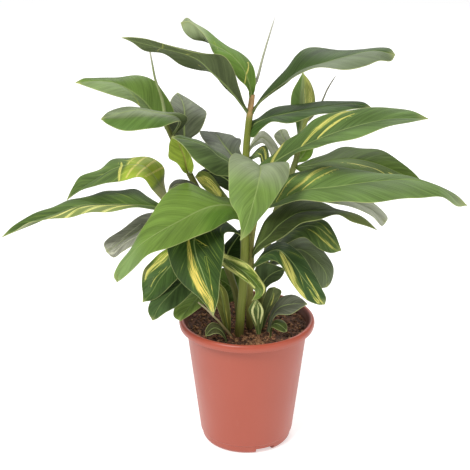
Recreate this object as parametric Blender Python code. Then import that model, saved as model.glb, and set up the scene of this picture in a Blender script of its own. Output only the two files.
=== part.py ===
"""A variegated shell ginger in a terracotta-coloured plastic nursery pot.

Frame: +Z up, origin on the pot's axis at the underside of its base, -Y towards the front of the plant.
The pot, the soil, five canes, their rolled spears and every leaf are separate closed solids.
"""
import math

import bpy
import numpy as np

MM = 0.001
CM = 0.01

# Pot, in metres
POT_HEIGHT = 0.1835
RIM_RADIUS = 0.095
RIM_INNER_RADIUS = 0.0885
LIP_HEIGHT = 0.0105
LIP_THICKNESS = 0.0026
WALL_TOP_RADIUS = 0.0850
WALL_FOOT_RADIUS = 0.0658
WALL_THICKNESS = 0.0020
FOOT_STEP_HEIGHT = 0.0140
FOOT_STEP_DEPTH = 0.0017
FOOT_RADIUS = 0.0574
POT_SIDES = 40

# Drain recesses under the edge of the base, each with a hole in its roof
DRAIN_COUNT = 3
DRAIN_FIRST_ANGLE = math.radians(-65.0)
DRAIN_WIDTH = math.radians(26.0)
DRAIN_DEPTH = 0.0075
DRAIN_INNER_RADIUS = 0.0460
DRAIN_HOLE_RADIUS = 0.0030
DRAIN_HOLE_PLACE = 0.0600
DRAIN_HOLE_TURN = math.radians(6.5)

# Soil and the clearance that touching pieces keep
SOIL_TOP = 0.1720
SOIL_LUMPS = 0.0012
GAP = 0.00035
SEAT_GAP = 0.00055
ROOT_DEPTH = 0.040

# Where the canes' and leaves' own tables have their zero: beside the pot's axis, above its underside
PLANT_SHIFT = -0.0020
PLANT_DATUM = 0.0025
CANE_SIDES = 10
BLADE_THICKNESS = 0.0008
PETIOLE_HALF_WIDTH = 0.0032
TIP_HALF_WIDTH = 0.0008
BASAL_HOLE_RADIUS = 0.0041
LEAF_COLUMNS = (-1.0, -0.5, 0.0, 0.5, 1.0)
LEAF_CROWN = 0.07
LEAF_ROW_SPACING = 0.019

# Colours as seen, linear values
POT_COLOUR = (0.53, 0.14, 0.09)
SOIL_COLOUR = (0.045, 0.022, 0.014)
CANE_COLOUR = (0.23, 0.25, 0.06)
SPEAR_COLOUR = (0.42, 0.47, 0.28)
DRY_COLOUR = (0.30, 0.24, 0.12)
LEAF_COLOURS = {
    "dark": (0.035, 0.075, 0.022),
    "mid": (0.075, 0.155, 0.045),
    "bright": (0.165, 0.300, 0.060),
    "grey": (0.110, 0.135, 0.095),
    "striped": (0.240, 0.300, 0.055),
}

# Canes: radius at the foot and at the top, then the way up from the soil (cm)
CANES = {
    "cane_main": (0.62, 0.34, (
        (-0.9, -3.4, 16.8), (-0.6, -3.4, 20.6), (-0.3, -3.2, 25), (-0.1, -3.2, 29.4), (0, -3, 34.2), (0, -2.8, 39),
        (0, -2.4, 43), (0.4, -2.2, 47.4), (0.8, -2, 50.4))),
    "cane_left": (0.50, 0.30, (
        (-0.8, -0.7, 16.8), (-1.1, -0.2, 20.8), (-2.4, 0.4, 25), (-3.9, 0.4, 29.4), (-5.3, 0.2, 33.8),
        (-6.4, -0.2, 36.8), (-7.6, -1, 39.6), (-8.6, -1.6, 42.2), (-9.6, -1.8, 44.4), (-10.4, -2, 46.4))),
    "cane_low_left": (0.50, 0.30, (
        (-2.8, 0.8, 16.8), (-3.6, 1, 21.8), (-5.4, 1, 26.8), (-8.2, 0, 31.4), (-10.8, -1.6, 35.2))),
    "cane_right": (0.50, 0.30, (
        (0.6, -1, 16.8), (0.6, -1.4, 22), (0.7, -1.8, 26.6), (0.8, -2, 30.4), (1.6, -2, 35),
        (2.2, -2, 38.2))),
    "cane_far_right": (0.50, 0.30, (
        (2, 1.6, 16.8), (2.6, 2, 22.8), (3, 2.4, 27.2), (4, 2.6, 32.2), (5.6, 2.4, 36.8), (6.8, 2.6, 40.2),
        (7.4, 3, 44))),
}

# Rolled young leaves: the cane that each tops, radius at the foot and at the tip, then the way up (cm)
SPEARS = {
    "spear_top": ("cane_main", 0.20, 0.08, (
        (1.35, -1.6, 52.2), (2, -1.5, 54.8), (2.45, -1.6, 56.4), (3.1, -1.7, 58.6), (3.6, -1.7, 60.3))),
    "spear_left": ("cane_left", 0.22, 0.09, (
        (-10.6, -2.2, 48.2), (-11, -2.4, 50.4), (-11.6, -2.6, 52.4), (-12, -2.8, 55), (-12.4, -2.8, 57.4))),
    "spear_right": ("cane_far_right", 0.20, 0.08, (
        (8.8, 4.4, 45.6), (10.2, 4.8, 47.6), (11, 5, 49.4), (12.2, 5.2, 51.4))),
}

# A dry stalk that leans out of the soil: radii, then its way (cm)
DRY_STALK = (0.19, 0.10, (
    (-1.9, -4.3, 16.8), (-3.2, -4.4, 18.8), (-4.4, -4.8, 20.4), (-5.4, -5, 21.6), (-6.4, -5.2, 22.6)))

# Leaves: what each grows from, its tone, then three lines from foot to tip in cm: the rib, and the left
# and the right margin as seen from above. The margins start at the rib's foot and end at its tip.
LEAVES = {
    "leaf_top": ("cane_main", "bright", (
        (0.7, -2, 49.7), (0.4, -3, 51.8), (-0.4, -4, 54.2), (-1.8, -4.6, 56), (-3.6, -5, 57.2),
        (-5.2, -5.4, 58), (-6.6, -6, 58.4), (-7.6, -6.6, 59.4), (-8, -7.2, 60.6)), (
        (0, -3.6, 51.8), (-1, -4.6, 53), (-2, -5.8, 54.8), (-3, -6.6, 56.2), (-4, -7, 56.8),
        (-4.8, -7.2, 58.4), (-5.8, -7.4, 59.8), (-7, -7.6, 60.8)), (
        (1.2, -2.8, 52), (1, -2, 53.8), (0.4, -1, 54.6), (-0.8, -0.4, 55.4), (-2.8, -0.4, 56.6),
        (-4.6, -1.6, 58.2), (-6.4, -3, 59.8), (-7.4, -5, 60.8))),
    "leaf_top_left": ("cane_main", "dark", (
        (0.3, -2.2, 48.2), (-0.8, -3.2, 49.8), (-2.4, -4.4, 52), (-4.4, -5.6, 54.2), (-5.8, -5.8, 55.6),
        (-7.2, -6, 56.4), (-10.2, -6, 57.2), (-13.2, -6.2, 58), (-15.4, -6.2, 58.6)), (
        (-0.4, -4, 50), (-1, -6, 52.4), (-1.6, -7.8, 55), (-3, -8.8, 56.8), (-5, -9.2, 57.2),
        (-6.8, -9.2, 57.6), (-10, -8.6, 58.2), (-12.4, -8, 58.8), (-14.2, -7, 58.8)), (
        (-1, -2.2, 49.6), (-2.6, -2, 51.2), (-4.4, -1.6, 53), (-6.2, -1.4, 53.4), (-8.4, -1.8, 54.4),
        (-10.6, -2.8, 55.8), (-12.8, -4.2, 56.6), (-14.2, -5.2, 57.8))),
    "leaf_top_right": ("cane_main", "dark", (
        (0.4, -2.2, 47.6), (1.4, -2.2, 49.2), (2.8, -2.2, 50.4), (4.8, -2.2, 51.8), (6.8, -2.2, 53.4),
        (9.4, -2.2, 54.4), (12.6, -2.4, 55.4), (16.2, -2.6, 56.2), (18.8, -3, 55.8)), (
        (2, -1.4, 50), (3.2, -0.4, 51.2), (5, 0.8, 53), (6.6, 1.8, 54.8), (8, 2.4, 55.4),
        (11.6, 2.2, 55.4), (15.4, 1, 55.6), (18.2, -1, 56.2)), (
        (2, -2.8, 49.8), (3.2, -3.4, 51), (4.8, -4.2, 52.4), (6.6, -5, 53.8), (8.8, -5.6, 54.6),
        (12.2, -6, 54.6), (15, -5.8, 55), (16.6, -5, 55.4), (18.2, -4, 55.2))),
    "leaf_left_high": ("cane_left", "bright", (
        (-10.3, -1.8, 45.8), (-10.8, -1.4, 47), (-12, -1.2, 47.8), (-13.4, -1.6, 49.6), (-15, -2, 51),
        (-16.8, -2.4, 52), (-19.2, -3, 52.4), (-21.8, -3, 52.2)), (
        (-11, -1.8, 46.8), (-12.8, -2.2, 48), (-14.2, -3.4, 49.6), (-15.8, -4.4, 50.6), (-17.8, -4.8, 51.2),
        (-19.6, -4.4, 51.8), (-20.8, -3.6, 52)), (
        (-9.4, -0.4, 47.2), (-9.8, 0, 48.6), (-11, 0.6, 50.4), (-12, 1, 51.4), (-14.2, 1, 52.2),
        (-17, 0, 52.2), (-19.4, -1.4, 52.4), (-20.8, -2.4, 52.6))),
    "leaf_left_canoe": ("cane_left", "mid", (
        (-9.7, -1.8, 44.6), (-8.9, -2.4, 46), (-8.6, -3, 47), (-9, -3.7, 47.9), (-10.2, -4.4, 48.4),
        (-11.8, -4.8, 48.8), (-13.8, -5.2, 49.2), (-16.2, -5.6, 48.8), (-18.4, -6, 48.2)), (
        (-8.4, -5, 47.6), (-9.6, -6.6, 47.8), (-11, -7.8, 47.6), (-13.2, -8.4, 47.4), (-15.6, -8.2, 47.4),
        (-17.4, -7.2, 47.8)), (
        (-7.9, -1.8, 46.4), (-7.6, -2.2, 47.4), (-8.6, -2.7, 48.1), (-10, -3, 48.3), (-11.6, -3.3, 48.6),
        (-13.6, -3.4, 49), (-15.8, -3.8, 49.2), (-17.6, -4.8, 48.8))),
    "leaf_left_back": ("cane_left", "grey", (
        (-8.7, -1.4, 42.2), (-8.2, 0, 43.8), (-8.2, 1, 45.2), (-8.2, 3, 46.6), (-8.6, 6, 47.4),
        (-9.4, 9, 48)), (
        (-9.6, -0.2, 44.4), (-10.4, 1, 46), (-10.4, 3.6, 47.2), (-10, 7, 47.8)), (
        (-7.2, 0, 44), (-6.2, 0.8, 44.6), (-5.4, 2, 46), (-5.4, 4.2, 46.6), (-7.2, 7, 47.2))),
    "leaf_centre_left": ("cane_main", "dark", (
        (0, -2.8, 39), (-1.2, -4, 40.6), (-2.2, -5, 42.2), (-3.6, -6, 43.4), (-4.8, -6.4, 44.6),
        (-6.2, -7, 45.4), (-7.6, -7.6, 46), (-9.4, -8, 46.4)), (
        (-1, -5.6, 40), (-2.4, -7.6, 41.2), (-4, -9, 41.8), (-5.4, -10, 43), (-6.6, -10.4, 44.4),
        (-7.6, -10, 45.6), (-8.6, -9, 46.2)), (
        (-0.6, -2, 40), (-2.2, -2.4, 41.8), (-4, -3, 43.2), (-5.6, -4, 44.6), (-7.2, -5.6, 45.6),
        (-8.4, -7, 46.4))),
    "leaf_centre_back": ("cane_main", "grey", (
        (0, -2.5, 41.6), (-1.6, 0, 41.4), (-2.6, 2, 42), (-3.4, 5, 42.2), (-4, 8, 42.2), (-5.4, 12, 41.6)), (
        (-2.2, -2, 41.4), (-4, 0, 42), (-5.4, 4, 42.2), (-6.4, 8, 42.6)), (
        (-0.8, 1, 42.2), (-0.6, 3.6, 42.6), (-1.4, 7, 42.2), (-3.2, 11, 41.6))),
    "leaf_young_left": ("cane_left", "bright", (
        (-7.6, -1, 39.4), (-7.8, -3.2, 40.8), (-8, -4.2, 42.6), (-8.6, -4.8, 44.4), (-9, -5.2, 45.4),
        (-9.4, -5.2, 45.8)), (
        (-8.2, -3.4, 40.4), (-9, -4, 41.8), (-10, -4, 42.4), (-10, -4.4, 43.6), (-9.8, -5, 45)), (
        (-7, -3.4, 40.4), (-6.8, -3.8, 41.4), (-7.2, -4, 42.8), (-7.8, -4.4, 44), (-8.4, -5, 45.2))),
    "leaf_front_centre": ("cane_main", "bright", (
        (0, -2.9, 37.2), (0.6, -6.4, 40.8), (1.6, -11, 43.6), (1.6, -14.4, 43.8), (1.2, -16.8, 42.6),
        (0.6, -18.2, 40.8), (0, -19.2, 39), (-0.8, -19.6, 37)), (
        (2, -5.6, 40.2), (4, -9, 43), (5.2, -12.4, 44.2), (5, -14.4, 43.2), (4, -15.8, 42),
        (2.6, -17, 40.2), (1.2, -18, 38.8), (0.4, -19, 37.8)), (
        (-0.4, -6.4, 42.2), (-1.4, -10, 45), (-2.2, -13.6, 45), (-2.2, -16, 43.4), (-2, -18, 41.2),
        (-1.2, -18.8, 40), (-0.8, -19.4, 38.4))),
    "leaf_front_left": ("cane_main", "bright", (
        (0, -3, 33), (-1.8, -5, 36.2), (-4, -7, 37), (-6, -8.4, 36.8), (-8.4, -10, 36),
        (-10.8, -11.6, 35.2), (-13.4, -13, 33.8), (-15, -14, 32.2), (-16, -14.4, 30.8),
        (-16.2, -14.4, 29.4)), (
        (-1.4, -5, 34.4), (-2.8, -8, 35), (-4.6, -11, 35), (-7, -13, 34.6), (-9.4, -14.4, 34.2),
        (-12, -15.6, 33.6), (-13.6, -16, 32.2), (-15.4, -15.6, 30.4)), (
        (-1.6, -3.6, 36.6), (-4, -3.6, 37.2), (-6, -3.6, 38.2), (-7.8, -4, 39.2), (-9.4, -5, 38.8),
        (-11.2, -7, 37.4), (-13, -9.6, 35.2), (-14.6, -12, 33), (-16, -13.8, 31.6), (-16.6, -14.4, 30.2))),
    "leaf_left_grey": ("cane_low_left", "grey", (
        (-8.4, -0.2, 31.6), (-10.6, -0.4, 32.4), (-13, -1, 32.2), (-14.8, -2, 31.4), (-16.8, -3, 30.4),
        (-18.6, -4, 29.4)), (
        (-10.2, -2.4, 32), (-12.8, -3.6, 31.2), (-14.6, -5, 30.8), (-16.4, -5.6, 30), (-17.6, -5, 29)), (
        (-10.6, 1, 33.2), (-13, 1.4, 33), (-14.8, 0.6, 32.6), (-17, -1, 31.3), (-19, -3.1, 30.3))),
    "leaf_left_long": ("cane_low_left", "striped", (
        (-10.2, -1.2, 34.4), (-12.8, -2.6, 35.4), (-15.4, -3.2, 35.8), (-18.6, -3.6, 36), (-21.8, -4, 36),
        (-24.8, -4.2, 35), (-27.8, -4.2, 33.6), (-30.6, -4.2, 32.4), (-32.4, -4.2, 31.6)), (
        (-12, -3.6, 35.2), (-14, -5.4, 36.2), (-16.4, -6.6, 36.2), (-19.4, -7.4, 36.2), (-22.8, -7.4, 35.6),
        (-26, -7, 35), (-28.2, -6.2, 34.4), (-30.6, -5, 32.6)), (
        (-11.8, -1.2, 35.4), (-13.2, -0.4, 36), (-15.2, 1, 36.6), (-18.4, 1.2, 36.2), (-21.8, 0.8, 35.6),
        (-25, -0.6, 35), (-28.2, -2.2, 34.2), (-30.8, -3.4, 33))),
    "leaf_left_striped": ("cane_low_left", "striped", (
        (-10, -1.1, 34), (-10.4, -0.1, 35.6), (-11.4, -0.4, 37.6), (-12.4, -0.6, 39.2), (-13.4, -0.4, 40.2),
        (-15.4, 0, 40.4), (-17.8, 0.4, 39.6), (-20.4, 1, 37.8), (-22.4, 1.4, 36.4), (-24.4, 1.6, 34.8)), (
        (-12.2, -2.4, 37.4), (-13.6, -3, 39.4), (-15.8, -3, 39.2), (-18.6, -2.4, 38.4), (-21, -1.4, 37.6),
        (-23.2, 0.2, 36)), (
        (-11, 1, 37.4), (-11, 1.8, 39.4), (-12.6, 2.6, 40.4), (-15.8, 3.6, 40.2), (-18.2, 3.8, 40),
        (-19.8, 3.4, 38.6), (-22.6, 2.8, 37.8), (-23.6, 2.2, 36.4))),
    "leaf_behind_left": ("cane_left", "grey", (
        (-4.6, 0.3, 31.4), (-4.8, -1.5, 34), (-5.4, -2.6, 36), (-7.2, -3.2, 38), (-9, -3.6, 38.8),
        (-10.2, -4.2, 38)), (
        (-5.2, -4, 35.2), (-7.4, -4.8, 36.8), (-9.2, -5, 37.6)), (
        (-4.2, -1.4, 35.4), (-5.8, -1.6, 37.4), (-7.6, -2, 38.8), (-9.2, -2.4, 39), (-10, -3.4, 38.6))),
    "leaf_back_striped": ("cane_main", "striped", (
        (0, -3, 34), (-1.9, -0.6, 34.4), (-3.5, 0, 35.8), (-4.9, 0.4, 37.4), (-6.8, 0.8, 38.4)), (
        (-2.6, -1.6, 34.4), (-4.2, -0.8, 36), (-5.5, -0.3, 37), (-6.3, 0.2, 37.8)), (
        (-1.9, 0.8, 34.8), (-3.4, 1.3, 36.6), (-4.5, 1.6, 38.2), (-5.5, 1.7, 38.9), (-6.4, 1.4, 38.8))),
    "leaf_back_dark": ("cane_main", "dark", (
        (0, -2.9, 37.6), (-1.4, 1, 37), (-3, 3, 37.6), (-4.8, 4, 38), (-6.6, 4.6, 37.8)), (
        (-1.6, 0.6, 36.2), (-3.2, 2.2, 36.4), (-4.8, 3.2, 37.2)), (
        (-1.4, 3, 37.6), (-3.2, 5, 38.2), (-5.2, 5.6, 38.2))),
    "leaf_upright_right": ("cane_far_right", "striped", (
        (7.2, 2.9, 42.2), (7.2, 2, 43.8), (7.4, 2.2, 45.6), (7.6, 3, 47.4), (7.6, 3.6, 49),
        (7.6, 4.6, 51.8)), (
        (8.4, 2.6, 45.8), (9.2, 3, 47.6), (9.2, 3.6, 49), (8.6, 4.2, 50.6)), (
        (6.6, 2.6, 45.8), (6, 3, 47.6), (6.2, 3.6, 49.4), (7, 4.2, 50.8))),
    "leaf_right_high": ("cane_main", "dark", (
        (0.2, -2.3, 45), (1, -2, 46.4), (2.8, -1.8, 47.2), (5.8, -1.4, 47.8), (9.6, -1, 48.4),
        (13.6, -0.6, 48.8), (16.4, 0, 48.2)), (
        (0.4, -1, 46.4), (1.4, 0.2, 46.6), (3.2, 1, 47.6), (5.2, 1.6, 48), (8.8, 1.8, 48.4),
        (13, 1.6, 48.6), (15.4, 1.2, 48.6)), (
        (1, -3.2, 45), (2, -3.8, 46.4), (3.2, -4.4, 47.4), (5.2, -4.6, 47.2), (7.8, -4.4, 48),
        (11.4, -3.4, 48.4), (14.4, -1.6, 48.4))),
    "leaf_right_striped": ("cane_main", "mid", (
        (0, -2.8, 38.4), (2, -4.6, 40.8), (4.2, -6.2, 43), (6.8, -7.8, 45), (9.2, -9.2, 46.6),
        (12.6, -10.2, 48.2), (17.4, -11.2, 49.6), (22, -11.8, 49.8)), (
        (1.8, -3.2, 41.4), (3.6, -3.8, 43), (5, -4.6, 44.8), (6.8, -5.4, 46.4), (8.4, -6, 48),
        (11.8, -6.6, 49.4), (14.8, -7.6, 50), (17.6, -8.8, 50.4), (20.2, -10.4, 50.4)), (
        (2.2, -5.2, 40.2), (4.4, -7.6, 42.6), (6.4, -10, 45), (9.2, -12.6, 46.6), (11.8, -13.8, 47.6),
        (14.6, -14.2, 48.6), (17.6, -14, 49.6), (20.2, -13, 49.8))),
    "leaf_right_arched": ("cane_far_right", "mid", (
        (6.4, 2.5, 39.2), (8.4, 1.8, 39.6), (11.2, 2, 40.2), (14.2, 2.4, 40.4), (17.6, 3, 39.6),
        (21, 3, 38.2), (24.4, 2.4, 36.8)), (
        (8, 4, 39.4), (10.4, 6, 39.8), (13.6, 7.6, 40.4), (17.4, 7.6, 40.4), (20.2, 6, 39.8),
        (22.8, 4, 38.2)), (
        (8, -0.4, 39.2), (10.4, -1.6, 40), (13.8, -1.8, 40.2), (17, -1.6, 39.6), (20.6, -0.4, 38.2),
        (22.8, 1, 37.2))),
    "leaf_right_front": ("cane_main", "mid", (
        (0, -3, 34.4), (2, -5, 36), (4, -7, 37.4), (6.8, -9.6, 39.8), (11, -12, 41.2),
        (15.6, -13.6, 42.4), (20.4, -14.4, 42.8), (24, -15, 41.8), (26.8, -15, 39.8)), (
        (2, -4, 36.8), (3.8, -4.4, 38.6), (5.8, -5, 40.6), (8.2, -6, 41.6), (11.8, -8, 42.6),
        (15.4, -10, 42.4), (18.8, -12, 42.8), (22.4, -13.6, 42.2), (25.4, -14.4, 41)), (
        (2.8, -7.6, 36.8), (4.8, -11, 38.6), (7.2, -13.6, 40), (10, -16, 40.6), (12.8, -18, 41.2),
        (16.2, -19, 41.8), (19.8, -18.4, 41.8), (23.2, -17, 41.6), (25.4, -16, 40))),
    "leaf_right_dark": ("cane_right", "dark", (
        (0.7, -1.8, 27.6), (1.5, -3.6, 30), (3, -5, 32), (4.4, -6.4, 34.2), (6.8, -8, 36.4), (9.4, -9, 37),
        (11.8, -9.8, 37.2), (14.6, -10.4, 36.6), (16.6, -10.8, 35)), (
        (1.8, -3, 31.8), (3.2, -3.6, 34.6), (5.2, -4, 36.2), (7.4, -4.4, 36.8), (9.6, -5.6, 37),
        (11.8, -7, 36.4), (14.4, -8.8, 36.2)), (
        (2.4, -6, 30.8), (4, -8.4, 32.8), (5.6, -10.4, 34.6), (7, -11.6, 36.4), (9.2, -12.4, 37),
        (11.4, -12.2, 37.6), (13.2, -12, 36.6), (15.2, -11.6, 35.8))),
    "leaf_right_tip": ("cane_far_right", "grey", (
        (4.4, 2.6, 33.6), (7.6, 3.6, 34.8), (11.6, 4, 34.8), (15.2, 4, 33.6), (17.6, 3.6, 32.6),
        (19.4, 3, 31)), (
        (7.6, 5.6, 35.2), (11.8, 6.6, 34.8), (15.8, 6, 34), (18.2, 5, 33), (19.8, 4, 31.4)), (
        (7.6, 1.6, 34.4), (11.4, 1.2, 34.6), (14.8, 1.6, 33.6), (17.4, 1.8, 32.4), (18.8, 2.2, 30.8))),
    "leaf_right_low_striped": ("cane_far_right", "striped", (
        (2.9, 2.3, 26.4), (4.6, -1.6, 30), (6.8, -4, 32.8), (9, -6, 33.8), (11, -7, 32.6),
        (12.4, -7.6, 31)), (
        (5.8, -0.4, 31.6), (7.6, -2.4, 33.6), (10.4, -4.4, 34), (11.6, -6, 32.8)), (
        (5.2, -3.6, 30.2), (7.6, -6.4, 32.4), (9.4, -8, 31.4), (11, -8, 30.8))),
    "leaf_right_low_grey": ("cane_far_right", "grey", (
        (2.8, 2.2, 24.6), (5, 0.4, 27.4), (7.4, -1, 28.6), (9.4, -2.2, 27.6), (10.8, -3, 26),
        (11, -3.4, 24)), (
        (5.8, 2.2, 28.8), (8.4, 1.8, 29.2), (10.8, 0.4, 27.8), (12, -1.2, 26), (11.6, -2.6, 24.4)), (
        (5.4, -2, 26.8), (7.4, -3.2, 26.8), (9, -4, 25.6), (10, -4, 24.2))),
    "leaf_right_hanging": ("cane_right", "striped", (
        (0.7, -1.7, 26), (2.5, -4.4, 29.2), (4.4, -7, 30.8), (6, -8.8, 29.8), (7.4, -9.8, 28),
        (9, -10.4, 26.2), (10.2, -10.4, 24.6)), (
        (3.2, -3.6, 30.2), (5.2, -5.2, 31.2), (7, -6.8, 30.4), (8.8, -8.2, 28.2), (9.8, -9.2, 26.4),
        (10.4, -9.8, 25.2)), (
        (3.6, -7.6, 29.6), (4.6, -9.6, 29.6), (5.8, -11, 27.8), (7.6, -11.4, 25.8), (9.4, -11, 24.8))),
    "leaf_right_shade": ("cane_far_right", "dark", (
        (2.3, 1.8, 19.8), (2.1, 0.7, 21.6), (2.5, 0.3, 23.2), (3.3, 0.1, 24.3), (4.4, 0, 25),
        (5.4, -0.1, 25.4)), (
        (1.4, 0.4, 22.8), (1.2, 0, 24.6), (1.6, -0.2, 25.9), (2.6, -0.3, 26.4), (3.9, -0.3, 26.1)), (
        (2.7, 0.6, 21.9), (3.6, 0.5, 22.9), (4.7, 0.4, 23.6), (5.3, 0.2, 24.6))),
    "leaf_centre_low_striped": ("cane_low_left", "striped", (
        (-5.4, 1, 26.8), (-3.4, -3, 28.2), (-1.6, -5.6, 28.2), (0.2, -7.2, 27.4), (1.6, -7.8, 26),
        (2, -7.8, 25), (0.8, -7.4, 23.8)), (
        (-3.8, -1.8, 28.6), (-2.2, -4.2, 29), (-0.6, -5.4, 28.8), (0.6, -6, 28.2), (1.8, -6.6, 26.8),
        (2.6, -7, 25.4), (1.8, -7, 24)), (
        (-3.8, -3.8, 27.6), (-2.2, -6.6, 27.8), (-0.6, -8.4, 27.4), (0.4, -9, 26.8), (1.2, -9, 25.8),
        (1, -8.2, 24.6))),
    "leaf_front_low": ("cane_main", "striped", (
        (0, -3.1, 31), (-2.4, -4.6, 33.6), (-5, -6.8, 34.2), (-6.6, -9.2, 33.4), (-6.4, -11, 31.8),
        (-5.6, -12, 29.8), (-4.8, -12.4, 27.2), (-4.2, -13, 24.2)), (
        (-1.8, -6, 33), (-2.8, -8, 33.4), (-2.8, -10, 32.4), (-3, -11, 30.8), (-3.4, -11.8, 28.4),
        (-3.6, -12.4, 26.2)), (
        (-4.2, -4.4, 34.6), (-7.8, -6.2, 34.2), (-10.2, -8, 33), (-10, -9.6, 31), (-9.2, -10.4, 29),
        (-7.8, -11, 27.4), (-6, -12, 26.2), (-5, -12.6, 25.2))),
    "leaf_left_low_yellow": ("cane_low_left", "dark", (
        (-6.6, 0.6, 29), (-8.4, -1.6, 28.8), (-10, -3, 27.2), (-11.6, -4.4, 25.6), (-12.6, -5.6, 24.2),
        (-13.8, -6, 23)), (
        (-7.6, -3.2, 28), (-8.6, -5, 26.6), (-10.2, -6.2, 25.2), (-12.2, -6.6, 23.6)), (
        (-9.2, 0, 29), (-11.2, -1, 28.4), (-12.8, -2, 27.2), (-13.8, -3.2, 26.4), (-14, -4.4, 25),
        (-13.8, -5.6, 24))),
    "leaf_left_low_dark": ("cane_low_left", "dark", (
        (-5, 1, 25.6), (-6.8, -3, 26.2), (-8.6, -5, 25.4), (-10, -6.4, 24.4), (-11.4, -7.6, 23.2),
        (-12.4, -8, 21.2)), (
        (-6.4, -5.2, 25.4), (-7.6, -7.2, 24.4), (-9.2, -8.4, 23.4), (-10.6, -8.6, 22.6),
        (-11.8, -8.4, 21.6)), (
        (-7.4, -1.6, 26.8), (-9.4, -3.2, 25.8), (-11.4, -4.8, 24.4), (-12.8, -6.2, 23), (-13, -7.4, 22.2))),
    "leaf_left_rim": ("cane_low_left", "mid", (
        (-3.9, 1, 23), (-5.6, -2, 23), (-7, -4, 22.2), (-8, -5.2, 21.4), (-8.8, -6, 20.2)), (
        (-4.8, -2.8, 22.4), (-6, -4.8, 21.8), (-7.2, -5.8, 21.2), (-8.2, -6, 20.6)), (
        (-6.2, -0.4, 23.6), (-8, -2, 22.8), (-9.4, -3.8, 21.8), (-9.8, -5, 21), (-9.6, -5.8, 20.6))),
    "leaf_basal_sheath": ("soil", "bright", (
        (-2.4, -2.8, 15), (-2.4, -2.8, 17), (-2.8, -2.8, 19.2), (-3.2, -2.6, 21.8), (-3.8, -2.2, 24.4)), (
        (-2.7, -2.8, 17), (-3.2, -3.2, 18.8), (-4, -2.8, 21.2), (-4.4, -2.6, 23.2)), (
        (-2.1, -2.8, 17), (-2, -3, 18.8), (-2.2, -2.8, 21), (-2.6, -2.4, 23))),
    "leaf_basal_left": ("soil", "mid", (
        (-2.5, -5.6, 15), (-2.6, -5.6, 17), (-3.3, -5.9, 18.7), (-4.2, -6, 19.2), (-5, -6.2, 18.7),
        (-5.4, -6.3, 18.1)), (
        (-2.7, -5.9, 17.1), (-3.6, -6.4, 18.5), (-4.2, -6.6, 18.6), (-5, -6.6, 18.3)), (
        (-2.6, -5.3, 17.1), (-3.4, -5.5, 19.3), (-4.6, -5.6, 19.8), (-5.4, -5.8, 18.9))),
    "leaf_basal_striped": ("soil", "striped", (
        (1.8, -3.6, 15), (1.8, -3.6, 17.4), (1.6, -4.1, 19.6), (1.6, -4.4, 21.4), (1.4, -4.2, 22.6)), (
        (1.5, -3.6, 17.4), (0.8, -4.1, 19.8), (0.4, -4.4, 21.2), (0.8, -4.2, 22)), (
        (2.1, -3.6, 17.4), (2.4, -4.1, 19.8), (2.4, -4.4, 21.2), (2, -4.2, 22))),
    "leaf_basal_dark": ("soil", "dark", (
        (2.3, -1.6, 15), (2.3, -1.6, 17.2), (3, -1.6, 20.2), (3.6, -1, 21.6), (4, -0.4, 22.8)), (
        (2, -1.6, 17.3), (2.2, -1.2, 19.6), (2.6, -0.6, 21.2), (3.2, 0, 22.4)), (
        (2.6, -1.6, 17.3), (3.6, -1.6, 20), (4.6, -1.2, 21.4), (5, -0.4, 22.2))),
    "leaf_basal_grey": ("soil", "grey", (
        (3.2, -2.9, 15), (3.2, -2.9, 17.2), (3.5, -3, 19.2), (4.6, -3.4, 21), (6.2, -4, 21.8),
        (8.4, -4, 21.8)), (
        (3, -2.7, 17.3), (3.6, -2.4, 20.2), (4.8, -1.8, 21.8), (6.4, -2.2, 22.4), (7.6, -3, 22.2)), (
        (3.4, -3.1, 17.3), (4.2, -4.2, 20.2), (6, -5.2, 20.8), (7.4, -5, 21.6))),
    "leaf_basal_right": ("soil", "mid", (
        (3.4, -4.2, 15), (3.4, -4.2, 17.2), (3.8, -4.4, 19), (4.6, -5, 19.2), (5.6, -5.4, 18.4)), (
        (3.5, -3.9, 17.3), (3.9, -3.6, 19.2), (5, -4, 19.4), (5.6, -4.8, 19)), (
        (3.3, -4.5, 17.3), (3.5, -5.2, 18.9), (4.3, -5.9, 18.8), (5.2, -5.8, 18.4))),
    "leaf_arch_behind": ("cane_main", "grey", (
        (0.1, -2.4, 42.8), (1.4, 0, 43.6), (2.2, 1, 43.8), (3.2, 1.6, 42.8), (4, 2, 41.4), (4.8, 2, 39.6)), (
        (1.4, 1.6, 44), (2.4, 3, 44.2), (3.8, 3.6, 42.6), (4.8, 3.2, 40.8)), (
        (1.4, -1.2, 43.4), (2.2, -0.8, 43.6), (3, 0, 42.4), (3.6, 0.6, 40.8))),
    "leaf_small_variegated": ("cane_main", "striped", (
        (0, -2.5, 41.4), (1.4, -1.6, 42.6), (2, -1.4, 43), (2.4, -1.6, 42.2), (2.6, -1.8, 40.8)), (
        (1.8, -0.8, 43), (2.6, -0.6, 43.2), (3, -0.8, 42.2), (3, -1.2, 41.2)), (
        (1.6, -2.2, 42), (1.8, -2.2, 42), (2, -2.2, 41.2))),
    "leaf_small_back": ("cane_far_right", "grey", (
        (6.9, 2.7, 40.8), (6, 4.4, 41.6), (5.2, 6, 42.4), (4.8, 8, 43)), (
        (5.2, 4, 41.4), (4.4, 5.4, 41.8), (4, 7.4, 42.4)), (
        (7, 5, 41.6), (6.2, 6.4, 42.2), (5.6, 8, 43))),
    "leaf_right_inner": ("cane_far_right", "mid", (
        (6.6, 2.6, 39.8), (7.6, 5, 39.8), (8.4, 6.2, 40.6), (8.8, 7, 41.8)), (
        (7.2, 5.6, 40.2), (7.6, 6.4, 41), (8, 6.8, 41.8)), (
        (8.4, 5.4, 39.2), (9.2, 6.2, 39.8), (9.4, 6.8, 41))),
    "leaf_shade_centre": ("cane_left", "dark", (
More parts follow.
